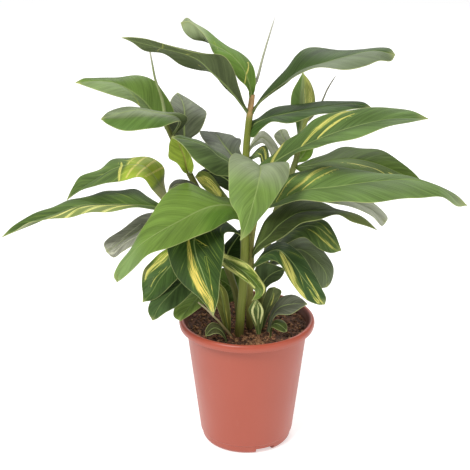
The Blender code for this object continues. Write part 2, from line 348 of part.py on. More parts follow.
        (-2.5, 0.4, 25.2), (-2.6, 1.9, 26.5), (-1.6, 2.7, 28.2), (-0.2, 3.4, 29.9)), (
        (-3.2, 2.3, 26.6), (-2.9, 3, 27.8), (-2.1, 3.8, 28.4), (-1.1, 4.2, 29.4)), (
        (-1.3, 1.4, 25.6), (0, 1.9, 26.6), (0.5, 2.6, 28), (0.3, 3.2, 29.2))),
    "leaf_shade_low": ("cane_left", "dark", (
        (-1.2, -0.1, 21.2), (-1.7, 2, 21.4), (-2.6, 2.7, 22), (-3.6, 3, 22.5), (-4.6, 3, 22.8)), (
        (-1.7, 1.9, 19.6), (-2.8, 2.4, 19.2), (-3.9, 2.6, 19.9), (-4.7, 2.8, 21.3)), (
        (-0.6, 2.2, 23), (-1.8, 3, 24.2), (-3.1, 3.2, 24.2), (-4.1, 3.1, 23.6))),
}


def clear_scene():
    """Removes whatever the open file holds."""
    for thing in list(bpy.data.objects):
        bpy.data.objects.remove(thing, do_unlink=True)


def material(name, colour, roughness):
    """A plain plastic-like or leaf-like surface."""
    made = bpy.data.materials.new(name)
    made.use_nodes = True
    shader = made.node_tree.nodes["Principled BSDF"]
    shader.inputs["Base Color"].default_value = (*colour, 1.0)
    shader.inputs["Roughness"].default_value = roughness
    shader.inputs["Metallic"].default_value = 0.0
    made.diffuse_color = (*colour, 1.0)
    return made


def solid(name, verts, faces, surface=None):
    """A mesh object in the scene, shaded smooth where it has a surface of its own."""
    mesh = bpy.data.meshes.new(name)
    mesh.from_pydata([tuple(map(float, v)) for v in verts], [], [tuple(map(int, f)) for f in faces])
    mesh.update()
    made = bpy.data.objects.new(name, mesh)
    bpy.context.scene.collection.objects.link(made)
    if surface:
        mesh.materials.append(surface)
        mesh.shade_smooth()
        mesh.set_sharp_from_angle(angle=math.radians(40))
    return made


def as_cutter(thing):
    """Marks an object that only cuts others."""
    thing.hide_render = True
    thing.display_type = "WIRE"
    return thing


def cut(thing, cutter):
    """Takes the cutter's space out of a solid."""
    step = thing.modifiers.new("cut by " + cutter.name, "BOOLEAN")
    step.operation = "DIFFERENCE"
    step.solver = "EXACT"
    step.object = cutter


def unit(vectors):
    """Vectors of length one, along the last axis."""
    return vectors / np.maximum(np.linalg.norm(vectors, axis=-1, keepdims=True), 1e-9)


def smooth_line(points, count):
    """Evenly spaced places on a smooth curve through the given points."""
    points = np.array(points, float)
    gaps = np.sqrt(np.linalg.norm(np.diff(points, axis=0), axis=1))
    knots = np.concatenate([[0.0], np.cumsum(gaps)])
    slopes = np.diff(points, axis=0) / gaps[:, None]
    tangents = np.concatenate([slopes[:1], slopes])
    for i in range(1, len(points) - 1):
        weight = gaps[i] / (gaps[i - 1] + gaps[i])
        tangents[i] = weight * slopes[i - 1] + (1 - weight) * slopes[i]
    s = np.linspace(0, 1, 17)[:-1, None]
    fine = []
    for i, span in enumerate(np.diff(knots)):
        fine.append((2 * s**3 - 3 * s**2 + 1) * points[i] + (3 * s**2 - 2 * s**3) * points[i + 1]
                    + (s**3 - 2 * s**2 + s) * span * tangents[i] + (s**3 - s**2) * span * tangents[i + 1])
    fine = np.vstack(fine + [points[-1:]])
    run = np.concatenate([[0.0], np.cumsum(np.linalg.norm(np.diff(fine, axis=0), axis=1))])
    at = np.linspace(0, run[-1], count)
    return np.stack([np.interp(at, run, fine[:, axis]) for axis in range(3)], axis=1)


def turned(name, profile, sides, surface=None):
    """A solid turned round Z. The profile runs from the axis, round the outside and back to the axis."""
    inner = profile[1:-1]
    angles = np.arange(sides) * (2 * math.pi / sides)
    verts = [(0, 0, profile[0][1])]
    for radius, height in inner:
        verts += [(radius * math.cos(a), radius * math.sin(a), height) for a in angles]
    verts.append((0, 0, profile[-1][1]))
    last = len(verts) - 1
    faces = []
    for j in range(sides):
        k = (j + 1) % sides
        faces.append((0, 1 + k, 1 + j))
        for i in range(len(inner) - 1):
            low = 1 + i * sides
            high = low + sides
            faces.append((low + j, low + k, high + k, high + j))
        faces.append((last, last - sides + j, last - sides + k))
    return solid(name, verts, faces, surface)


def pot_inner_radius(height):
    """The radius inside the pot's wall at a height."""
    part = (height - FOOT_STEP_HEIGHT) / (POT_HEIGHT - LIP_HEIGHT - FOOT_STEP_HEIGHT)
    return WALL_FOOT_RADIUS + part * (WALL_TOP_RADIUS - WALL_FOOT_RADIUS) - WALL_THICKNESS


def pot_outline():
    """The pot's outside, from the middle of the base up to the rolled lip and over it."""
    foot = FOOT_RADIUS
    step = WALL_FOOT_RADIUS - FOOT_STEP_DEPTH
    under_lip = POT_HEIGHT - LIP_HEIGHT
    skirt = RIM_RADIUS - LIP_THICKNESS
    flange = POT_HEIGHT - 3 * MM
    return [
        (0, 0), (foot - 12 * MM, 0), (foot, 0), (foot + 3.2 * MM, 1.4 * MM), (foot + 5.4 * MM, 4.6 * MM),
        (step, FOOT_STEP_HEIGHT - 1 * MM), (WALL_FOOT_RADIUS, FOOT_STEP_HEIGHT),
        (WALL_TOP_RADIUS, under_lip), (WALL_TOP_RADIUS + 3 * MM, flange - 2 * MM),
        (skirt - 3 * MM, flange), (skirt, flange), (skirt, under_lip), (RIM_RADIUS - 1 * MM, under_lip),
        (RIM_RADIUS, POT_HEIGHT - 5 * MM), (RIM_RADIUS - 1 * MM, POT_HEIGHT - 1.8 * MM),
        (RIM_RADIUS - 3 * MM, POT_HEIGHT), (0, POT_HEIGHT)]


def cavity_outline(shrink, top):
    """The pot's inside from its floor up, drawn in by a clearance, closed at a height."""
    floor = WALL_THICKNESS + shrink
    return [
        (0, floor), (FOOT_RADIUS - WALL_THICKNESS - shrink, floor),
        (FOOT_RADIUS + 3 * MM - shrink, 5 * MM + shrink),
        (pot_inner_radius(FOOT_STEP_HEIGHT) - FOOT_STEP_DEPTH - shrink, FOOT_STEP_HEIGHT + 2 * MM),
        (pot_inner_radius(FOOT_STEP_HEIGHT + 5 * MM) - shrink, FOOT_STEP_HEIGHT + 5 * MM),
        (pot_inner_radius(top) - shrink, top)]


def drain_wedges(name, grow, height):
    """The spaces under the base's edge where water leaves, as one cutter."""
    verts = []
    faces = []
    inner = DRAIN_INNER_RADIUS - grow
    outer = WALL_TOP_RADIUS
    half = DRAIN_WIDTH / 2 + grow / FOOT_RADIUS
    for n in range(DRAIN_COUNT):
        middle = DRAIN_FIRST_ANGLE + n * 2 * math.pi / DRAIN_COUNT
        first = len(verts)
        for z in (-10 * MM, height):
            for radius, turn in ((inner, -half), (outer, -half), (outer, half), (inner, half)):
                verts.append((radius * math.cos(middle + turn), radius * math.sin(middle + turn), z))
        for face in ((3, 2, 1, 0), (4, 5, 6, 7), (0, 1, 5, 4), (1, 2, 6, 5), (2, 3, 7, 6), (3, 0, 4, 7)):
            faces.append(tuple(first + i for i in face))
    return as_cutter(solid(name, verts, faces))


def drain_holes():
    """Round holes through the roofs of the recesses, as one cutter."""
    sides = 10
    verts = []
    faces = []
    for n in range(DRAIN_COUNT):
        middle = DRAIN_FIRST_ANGLE + DRAIN_HOLE_TURN + n * 2 * math.pi / DRAIN_COUNT
        centre = (DRAIN_HOLE_PLACE * math.cos(middle), DRAIN_HOLE_PLACE * math.sin(middle))
        first = len(verts)
        for z in (DRAIN_DEPTH - 3 * MM, DRAIN_DEPTH + 3 * MM):
            for j in range(sides):
                a = j * 2 * math.pi / sides
                verts.append((centre[0] + DRAIN_HOLE_RADIUS * math.cos(a),
                              centre[1] + DRAIN_HOLE_RADIUS * math.sin(a), z))
        faces.append(tuple(first + j for j in reversed(range(sides))))
        faces.append(tuple(first + sides + j for j in range(sides)))
        for j in range(sides):
            k = (j + 1) % sides
            faces.append((first + j, first + k, first + sides + k, first + sides + j))
    return as_cutter(solid("drain_hole_cutter", verts, faces))


def make_pot():
    """A thin-walled pot: its outside, less its inside, the drain recesses and their holes."""
    pot = turned("pot", pot_outline(), POT_SIDES, material("pot", POT_COLOUR, 0.42))
    cavity = cavity_outline(0, POT_HEIGHT - LIP_HEIGHT)
    cavity += [(WALL_TOP_RADIUS + 0.9 * MM, POT_HEIGHT - 5.4 * MM),
               (RIM_INNER_RADIUS - 1 * MM, POT_HEIGHT - 1.8 * MM),
               (RIM_INNER_RADIUS + 0.5 * MM, POT_HEIGHT + 1 * MM), (0, POT_HEIGHT + 1 * MM)]
    inside = as_cutter(turned("pot_inside_cutter", cavity, POT_SIDES))
    cut(inside, drain_wedges("drain_roof_cutter", WALL_THICKNESS, DRAIN_DEPTH + WALL_THICKNESS))
    cut(pot, inside)
    cut(pot, drain_wedges("drain_recess_cutter", 0, DRAIN_DEPTH))
    cut(pot, drain_holes())


def soil_height(x, y):
    """The lumpy level of the soil."""
    waves = math.sin(95 * x + 1.3) * math.sin(80 * y + 0.4) + 0.6 * math.sin(170 * x - 140 * y)
    return SOIL_TOP + SOIL_LUMPS * waves


def make_soil():
    """The soil fills the pot, clear of its wall, and its top is lumpy."""
    rings = (1.0, 0.80, 0.56, 0.30)
    rim = pot_inner_radius(SOIL_TOP) - GAP
    profile = cavity_outline(GAP, SOIL_TOP) + [(rim * part, SOIL_TOP) for part in rings[1:]]
    profile.append((0, SOIL_TOP))
    soil = turned("soil", profile, POT_SIDES, material("soil", SOIL_COLOUR, 0.95))
    for vertex in soil.data.vertices:
        if vertex.co.z > SOIL_TOP - 1e-6 and math.hypot(vertex.co.x, vertex.co.y) < rim * 0.99:
            vertex.co.z = soil_height(vertex.co.x, vertex.co.y)
    cut(soil, drain_wedges("soil_drain_cutter", WALL_THICKNESS + GAP, DRAIN_DEPTH + WALL_THICKNESS + GAP))
    return soil


def tube(path, radii, sides):
    """Corners and faces of a round tube with flat ends along a path."""
    along = unit(np.gradient(path, axis=0))
    side = unit(np.cross(along, [0.0, 1.0, 0.0]))
    other = np.cross(side, along)
    verts = []
    for centre, radius, a, b in zip(path, radii, side, other):
        for j in range(sides):
            turn = j * 2 * math.pi / sides
            verts.append(centre + radius * (math.cos(turn) * a + math.sin(turn) * b))
    faces = [tuple(range(sides)), tuple(reversed(range(len(verts) - sides, len(verts))))]
    for i in range(len(path) - 1):
        low = i * sides
        for j in range(sides):
            k = (j + 1) % sides
            faces.append((low + k, low + j, low + sides + j, low + sides + k))
    return verts, faces


def places(points):
    """Table entries in centimetres as places in metres."""
    return np.array(points, float) * CM + (PLANT_SHIFT, 0, PLANT_DATUM)


def rooted(points):
    """A stem's way, with its buried foot straight below the soil."""
    way = places(points)
    foot = way[0] - (0, 0, ROOT_DEPTH)
    return np.vstack([foot, (foot + way[0]) / 2, way])


def make_stem(name, points, foot_radius, top_radius, surface, soil):
    """A cane or stalk that stands in a plain hole in the soil. Returns its path and radii."""
    path = smooth_line(points, max(6, round((points[-1][2] - points[0][2]) / (25 * MM))))
    radii = np.interp(path[:, 2], [points[2][2], points[-1][2]], [foot_radius, top_radius])
    solid(name, *tube(path, radii, CANE_SIDES), surface)
    hole_path = path.copy()
    hole_path[0, 2] -= GAP
    cut(soil, as_cutter(solid(name + "_hole", *tube(hole_path, radii + GAP, CANE_SIDES))))
    return path, radii


def make_spear(name, cane, foot_radius, tip_radius, points, surface):
    """A rolled young leaf that carries a cane on above its top."""
    path, _ = cane
    onward = unit(path[-1] - path[-2])
    points = np.vstack([path[-1] + onward * 2 * GAP, path[-1] + onward * 9 * MM, places(points)])
    line = smooth_line(points, 10)
    radii = np.linspace(foot_radius, tip_radius, len(line)) * CM
    solid(name, *tube(line, radii, 6), surface)


def clear_distance(spots, stem):
    """How far spots lie outside a stem's skin, and the way out from its axis."""
    path, radii = stem
    start = path[:-1]
    step = path[1:] - start
    part = np.clip(np.einsum("psk,sk->ps", spots[:, None] - start, step) / (step**2).sum(1), 0, 1)
    nearest = start + part[..., None] * step
    away = spots[:, None] - nearest
    reach = np.linalg.norm(away, axis=2)
    skin = radii[:-1] + part * np.diff(radii)
    best = (reach - skin).argmin(axis=1)
    row = np.arange(len(spots))
    return (reach - skin)[row, best], away[row, best] / np.maximum(reach[row, best], 1e-9)[:, None]


def start_outside(rib, stem):
    """The rib's points with its start moved out to the skin of the stem that carries it."""
    fine = smooth_line(rib, 400)
    free, _ = clear_distance(fine, stem)
    first = int(np.nonzero(free < GAP)[0].max()) + 1
    start = fine[first]
    keep = [p for p in rib[1:] if np.linalg.norm(p - rib[0]) > np.linalg.norm(start - rib[0]) + 4 * MM]
    return np.vstack([start, keep])


def margin_arms(middle, left, right):
    """Arms, row by row, from the rib out to the left and the right margin.

    Where the stalk or the tip is narrower than its least half width, both arms lie straight across it.
    """
    rows = len(middle)
    along = unit(np.gradient(middle, axis=0))
    least = np.linspace(PETIOLE_HALF_WIDTH, TIP_HALF_WIDTH, rows)[:, None]
    arms = [smooth_line(line, rows) - middle for line in (left, right)]
    reach = [np.linalg.norm(arm, axis=1, keepdims=True) for arm in arms]
    across = unit(arms[1] - arms[0])
    wide = np.nonzero(((reach[0] > least) & (reach[1] > least))[:, 0])[0]
    across[:wide[0]] = across[wide[0]]
    across[wide[-1] + 1:] = across[wide[-1]]
    across = unit(across - along * (across * along).sum(axis=1, keepdims=True))
    inside = (np.arange(rows) >= wide[0]) & (np.arange(rows) <= wide[-1])
    arms = [np.where((size > least) & inside[:, None], arm, side * across * np.maximum(least, size))
            for arm, size, side in zip(arms, reach, (-1, 1))]
    return arms, unit(np.cross(across, along))


def blade_grid(rib, left, right, rows):
    """The blade's middle surface: rows from foot to tip, columns from the left to the right margin."""
    middle = smooth_line(rib, rows)
    arms, up = margin_arms(middle, *(np.vstack([rib[:1], line, rib[-1:]]) for line in (left, right)))
    grid = np.empty((rows, len(LEAF_COLUMNS), 3))
    for j, across in enumerate(LEAF_COLUMNS):
        out = abs(across)
        arm = arms[0] if across < 0 else arms[1]
        lift = LEAF_CROWN * 4 * out * (1 - out) * np.linalg.norm(arm, axis=1)
        grid[:, j] = middle + arm * out + up * lift[:, None]
    return grid


def leaf_body(grid):
    """Corners and triangles of a leaf, split alike on both faces, thicker along the rib and at the foot."""
    rows, columns = grid.shape[:2]
    normal = unit(np.cross(np.gradient(grid, axis=1), np.gradient(grid, axis=0)))
    onward = np.linspace(0, 1, rows)[:, None]
    inward = (1 - np.abs(LEAF_COLUMNS))[None, :]
    rib_thickness = (2.4 * MM * np.exp(-onward / 0.12) + 0.6 * MM) * inward**2
    top = grid + normal * (BLADE_THICKNESS / 2)
    below = grid - normal * (BLADE_THICKNESS / 2 + rib_thickness)[..., None]
    verts = np.concatenate([top.reshape(-1, 3), below.reshape(-1, 3)])
    half = rows * columns
    faces = []
    for i in range(rows - 1):
        for j in range(columns - 1):
            a = i * columns + j
            b, c, d = a + 1, a + columns + 1, a + columns
            faces += [(a, b, c), (a, c, d), (half + a, half + c, half + b), (half + a, half + d, half + c)]
    edge = list(range(columns)) + [i * columns + columns - 1 for i in range(1, rows)]
    edge += [half - 2 - j for j in range(columns - 1)] + [i * columns for i in range(rows - 2, 0, -1)]
    for a, b in zip(edge, edge[1:] + edge[:1]):
        faces += [(a, half + a, half + b), (a, half + b, b)]
    return verts, faces


def seat(verts, rows, stem):
    """Draws the leaf's foot close round the stem, and keeps its first rows clear of it."""
    columns = len(LEAF_COLUMNS)
    upper = np.arange(3 * columns)
    lower = upper + rows * columns
    for _ in range(3):
        free, away = clear_distance(verts[upper], stem)
        free_below, away_below = clear_distance(verts[lower], stem)
        shift = SEAT_GAP - np.minimum(free, free_below)
        shift[columns:] = np.maximum(shift[columns:], 0)
        step = unit(away + away_below) * shift[:, None]
        verts[upper] += step
        verts[lower] += step


def make_leaf(name, grows_from, tone, lines, stems, soil):
    """One leaf with its stalk, seated on its cane or standing in a hole in the soil."""
    rib, left, right = (places(line) for line in lines)
    stem = stems.get(grows_from)
    if stem:
        rib = start_outside(rib, stem)
    length = np.linalg.norm(np.diff(smooth_line(rib, 60), axis=0), axis=1).sum()
    rows = max(6, round(length / LEAF_ROW_SPACING) + 2)
    verts, faces = leaf_body(blade_grid(rib, left, right, rows))
    if stem:
        seat(verts, rows, stem)
    else:
        path = np.array([rib[0] - (0, 0, 3 * MM), rib[1], 1.5 * rib[1] - 0.5 * rib[0]])
        radii = [BASAL_HOLE_RADIUS] * len(path)
        cut(soil, as_cutter(solid(name + "_hole", *tube(path, radii, CANE_SIDES))))
    solid(name, verts, faces, material(name, LEAF_COLOURS[tone], 0.45))


def main():
    clear_scene()
    make_pot()
    soil = make_soil()
    stems = {}
    for name, (foot_radius, top_radius, points) in CANES.items():
        surface = material(name, CANE_COLOUR, 0.5)
        stems[name] = make_stem(name, rooted(points), foot_radius * CM, top_radius * CM, surface, soil)
    for name, (cane, foot_radius, tip_radius, points) in SPEARS.items():
        surface = material(name, SPEAR_COLOUR, 0.5)
        make_spear(name, stems[cane], foot_radius, tip_radius, points, surface)
    foot_radius, tip_radius, points = DRY_STALK
    surface = material("dry_stalk", DRY_COLOUR, 0.8)
    make_stem("dry_stalk", rooted(points), foot_radius * CM, tip_radius * CM, surface, soil)
    for name, (grows_from, tone, *lines) in LEAVES.items():
        make_leaf(name, grows_from, tone, lines, stems, soil)


main()
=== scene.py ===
"""Looks of the potted shell ginger: fine leaves, canes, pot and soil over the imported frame."""

import math

import bpy
import numpy as np
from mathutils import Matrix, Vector, noise


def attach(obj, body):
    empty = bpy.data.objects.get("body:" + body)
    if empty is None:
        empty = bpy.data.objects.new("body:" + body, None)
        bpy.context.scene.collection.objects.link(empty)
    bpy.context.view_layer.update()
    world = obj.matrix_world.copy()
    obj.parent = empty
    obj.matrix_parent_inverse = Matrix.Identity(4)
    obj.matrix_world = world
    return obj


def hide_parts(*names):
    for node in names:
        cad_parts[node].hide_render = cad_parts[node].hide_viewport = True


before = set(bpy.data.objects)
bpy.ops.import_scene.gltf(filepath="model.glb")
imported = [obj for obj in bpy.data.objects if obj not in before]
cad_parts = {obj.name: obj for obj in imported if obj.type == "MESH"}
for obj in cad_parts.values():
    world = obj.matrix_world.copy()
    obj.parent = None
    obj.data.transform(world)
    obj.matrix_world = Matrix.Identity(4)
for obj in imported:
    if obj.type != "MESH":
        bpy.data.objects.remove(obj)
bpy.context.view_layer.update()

MM = 0.001
CM = 0.01
TURN = 2 * math.pi
SPAN_STEPS = 16

# Pot and soil, as in the solids
POT_HEIGHT = 0.1835
RIM_RADIUS = 0.095
RIM_INNER_RADIUS = 0.0885
LIP_HEIGHT = 0.0105
LIP_THICKNESS = 0.0026
WALL_TOP_RADIUS = 0.0850
WALL_FOOT_RADIUS = 0.0658
WALL_THICKNESS = 0.0020
FOOT_STEP_HEIGHT = 0.0140
FOOT_STEP_DEPTH = 0.0017
FOOT_RADIUS = 0.0574
DRAIN_COUNT = 3
DRAIN_FIRST_ANGLE = math.radians(-65.0)
DRAIN_WIDTH = math.radians(26.0)
DRAIN_DEPTH = 0.0075
DRAIN_INNER_RADIUS = 0.0460
DRAIN_HOLE_RADIUS = 0.0030
DRAIN_HOLE_PLACE = 0.0600
DRAIN_HOLE_TURN = math.radians(6.5)
UNDER_LIP = POT_HEIGHT - LIP_HEIGHT
SOIL_TOP = 0.1720
SOIL_FLOOR = 0.0105

# How finely the pot and the soil are made
POT_SIDES = 144
HOLE_SIDES = 20
POT_ROUNDING = 1.2 * MM
POT_SHARP_ANGLE = 32
SOIL_SIDES = 200
SOIL_RINGS = 72

# Loose crumbs: how many, their size from and to in millimetres, the share that lies in a pale heap,
# then the dark and the light colour
CRUMBS = {
    "soil_crumbs_dark": (900, 0.6, 2.0, 0, (0.026, 0.012, 0.007), (0.140, 0.064, 0.035)),
    "soil_crumbs_brown": (560, 0.8, 3.3, 0.25, (0.190, 0.072, 0.030), (0.620, 0.330, 0.165)),
}
HEAP_PLACE = (0.011, -0.055)
HEAP_SPREAD = 10 * MM

# A crumb's corners stand a fifth of a turn apart, in radians; all crumbs keep a gap to the pot
FIFTH_TURN = 1.2566
CRUMB_GAP = 3 * MM

# Dry fibres on the soil
FIBRE_COUNT = 150
FIBRE_STEPS = 5
FIBRE_SIDES = 5
FIBRE_START_GAP = 9 * MM
FIBRE_GAP = 2 * MM
SOIL_SEED = 7

# Where the canes' and leaves' own tables have their zero: beside the pot's axis, above its underside
PLANT_SHIFT = -0.0020
PLANT_DATUM = 0.0025
ROOT_DEPTH = 0.040

# Leaf blades: sizes, the arch and the waves in parts of a half's width, the slant of the veins
BLADE_THICKNESS = 0.0005
PETIOLE_HALF_WIDTH = 0.0032
TIP_HALF_WIDTH = 0.0006
LEAF_CROWN = 0.07
WAVE_HEIGHT = 0.035
WAVE_COUNT = (2.5, 4.5)
WAVE_SPAN = 0.2
RIB_GROOVE_DEPTH = 0.5 * MM
RIB_GROOVE_WIDTH = 1.3 * MM
STALK_DEPTH = 2.2 * MM
STALK_SHARE = 0.12
RIB_DEPTH = 0.9 * MM
RIB_WIDTH_MM = 1.7
VEIN_SLANT = 0.34
VEIN_TURN = 0.55
UV_OVERHANG = 0.4

# How finely the leaves are made
RIB_STEPS = 80
ROW_SPACING = 3 * MM
ROW_LIMITS = (16, 96)
BLADE_COLUMNS = 31
COLUMN_CROWDING = 0.45

# Leaf sheaths on a cane: how far the upper edge lies over the leaf's foot and falls to the far side, how
# far down the sheath thins out, and its thickness in millimetres, least and more on the leaf's side
SHEATH_EDGE = 5 * MM
SHEATH_FALL = 9 * MM
SHEATH_FADE = 0.05
SHEATH_LEAST = 0.15
SHEATH_MORE = 0.35

# How a spear goes on from its cane
SPEAR_OVERLAP = 4 * MM
SPEAR_LEAD = 9 * MM

# How finely the canes, the spears and the dry stalk are made
CANE_SIDES = 28
CANE_ROW_SPACING = 2 * MM
SPEAR_SIDES = 16
SPEAR_ROWS = 60
STALK_SIDES = 14
STALK_ROWS = 70

# Studio: a wide floor, the viewpoint of the photograph, and lights with place, aim, size and power
FLOOR_REACH = 45
FLOOR_LOOK = {
    "Base Color": (0.80, 0.80, 0.80),
    "Emission Color": (1.0, 1.0, 1.0),
    "Emission Strength": 0.50,
    "Roughness": 0.9,
    "Specular IOR Level": 0.1,
}
SKY_STRENGTH = 0.48
CAMERA_PLACE = (-0.0165, -1.50, 0.8695)
CAMERA_DIP = 20.6
CAMERA_LENS = 90.0
CAMERA_SENSOR = 36.0
CAMERA_RANGE = 60.0
LIGHTS = {
    "key": ((-1.3, -1.9, 2.9), (0, 0, 0.35), 1.2, 92.0),
    "fill": ((2.2, -1.6, 1.5), (0, 0, 0.3), 1.8, 14.0),
    "back": ((0.3, 2.2, 2.4), (0, 0, 0.4), 1.8, 34.0),
}

# Canes: radius at the foot and at the top, then the way up from the soil (cm)
CANES = {
    "cane_main": (0.62, 0.34, (
        (-0.9, -3.4, 16.8), (-0.6, -3.4, 20.6), (-0.3, -3.2, 25), (-0.1, -3.2, 29.4), (0, -3, 34.2),
        (0, -2.8, 39), (0, -2.4, 43), (0.4, -2.2, 47.4), (0.8, -2, 50.4))),
    "cane_left": (0.50, 0.30, (
        (-0.8, -0.7, 16.8), (-1.1, -0.2, 20.8), (-2.4, 0.4, 25), (-3.9, 0.4, 29.4), (-5.3, 0.2, 33.8),
        (-6.4, -0.2, 36.8), (-7.6, -1, 39.6), (-8.6, -1.6, 42.2), (-9.6, -1.8, 44.4), (-10.4, -2, 46.4))),
    "cane_low_left": (0.50, 0.30, (
        (-2.8, 0.8, 16.8), (-3.6, 1, 21.8), (-5.4, 1, 26.8), (-8.2, 0, 31.4), (-10.8, -1.6, 35.2))),
    "cane_right": (0.50, 0.30, (
        (0.6, -1, 16.8), (0.6, -1.4, 22), (0.7, -1.8, 26.6), (0.8, -2, 30.4), (1.6, -2, 35),
        (2.2, -2, 38.2))),
    "cane_far_right": (0.50, 0.30, (
        (2, 1.6, 16.8), (2.6, 2, 22.8), (3, 2.4, 27.2), (4, 2.6, 32.2), (5.6, 2.4, 36.8), (6.8, 2.6, 40.2),
        (7.4, 3, 44))),
}

# Rolled young leaves: the cane that each tops, radius at the foot and at the tip, then the way up (cm)
SPEARS = {
    "spear_top": ("cane_main", 0.20, 0.08, (
        (1.35, -1.6, 52.2), (2, -1.5, 54.8), (2.45, -1.6, 56.4), (3.1, -1.7, 58.6), (3.6, -1.7, 60.3))),
    "spear_left": ("cane_left", 0.22, 0.09, (
        (-10.6, -2.2, 48.2), (-11, -2.4, 50.4), (-11.6, -2.6, 52.4), (-12, -2.8, 55), (-12.4, -2.8, 57.4))),
    "spear_right": ("cane_far_right", 0.20, 0.08, (
        (8.8, 4.4, 45.6), (10.2, 4.8, 47.6), (11, 5, 49.4), (12.2, 5.2, 51.4))),
}

# A dry stalk that leans out of the soil: radii, then its way (cm)
DRY_STALK = (0.19, 0.10, (
    (-1.9, -4.3, 16.8), (-3.2, -4.4, 18.8), (-4.4, -4.8, 20.4), (-5.4, -5, 21.6), (-6.4, -5.2, 22.6)))

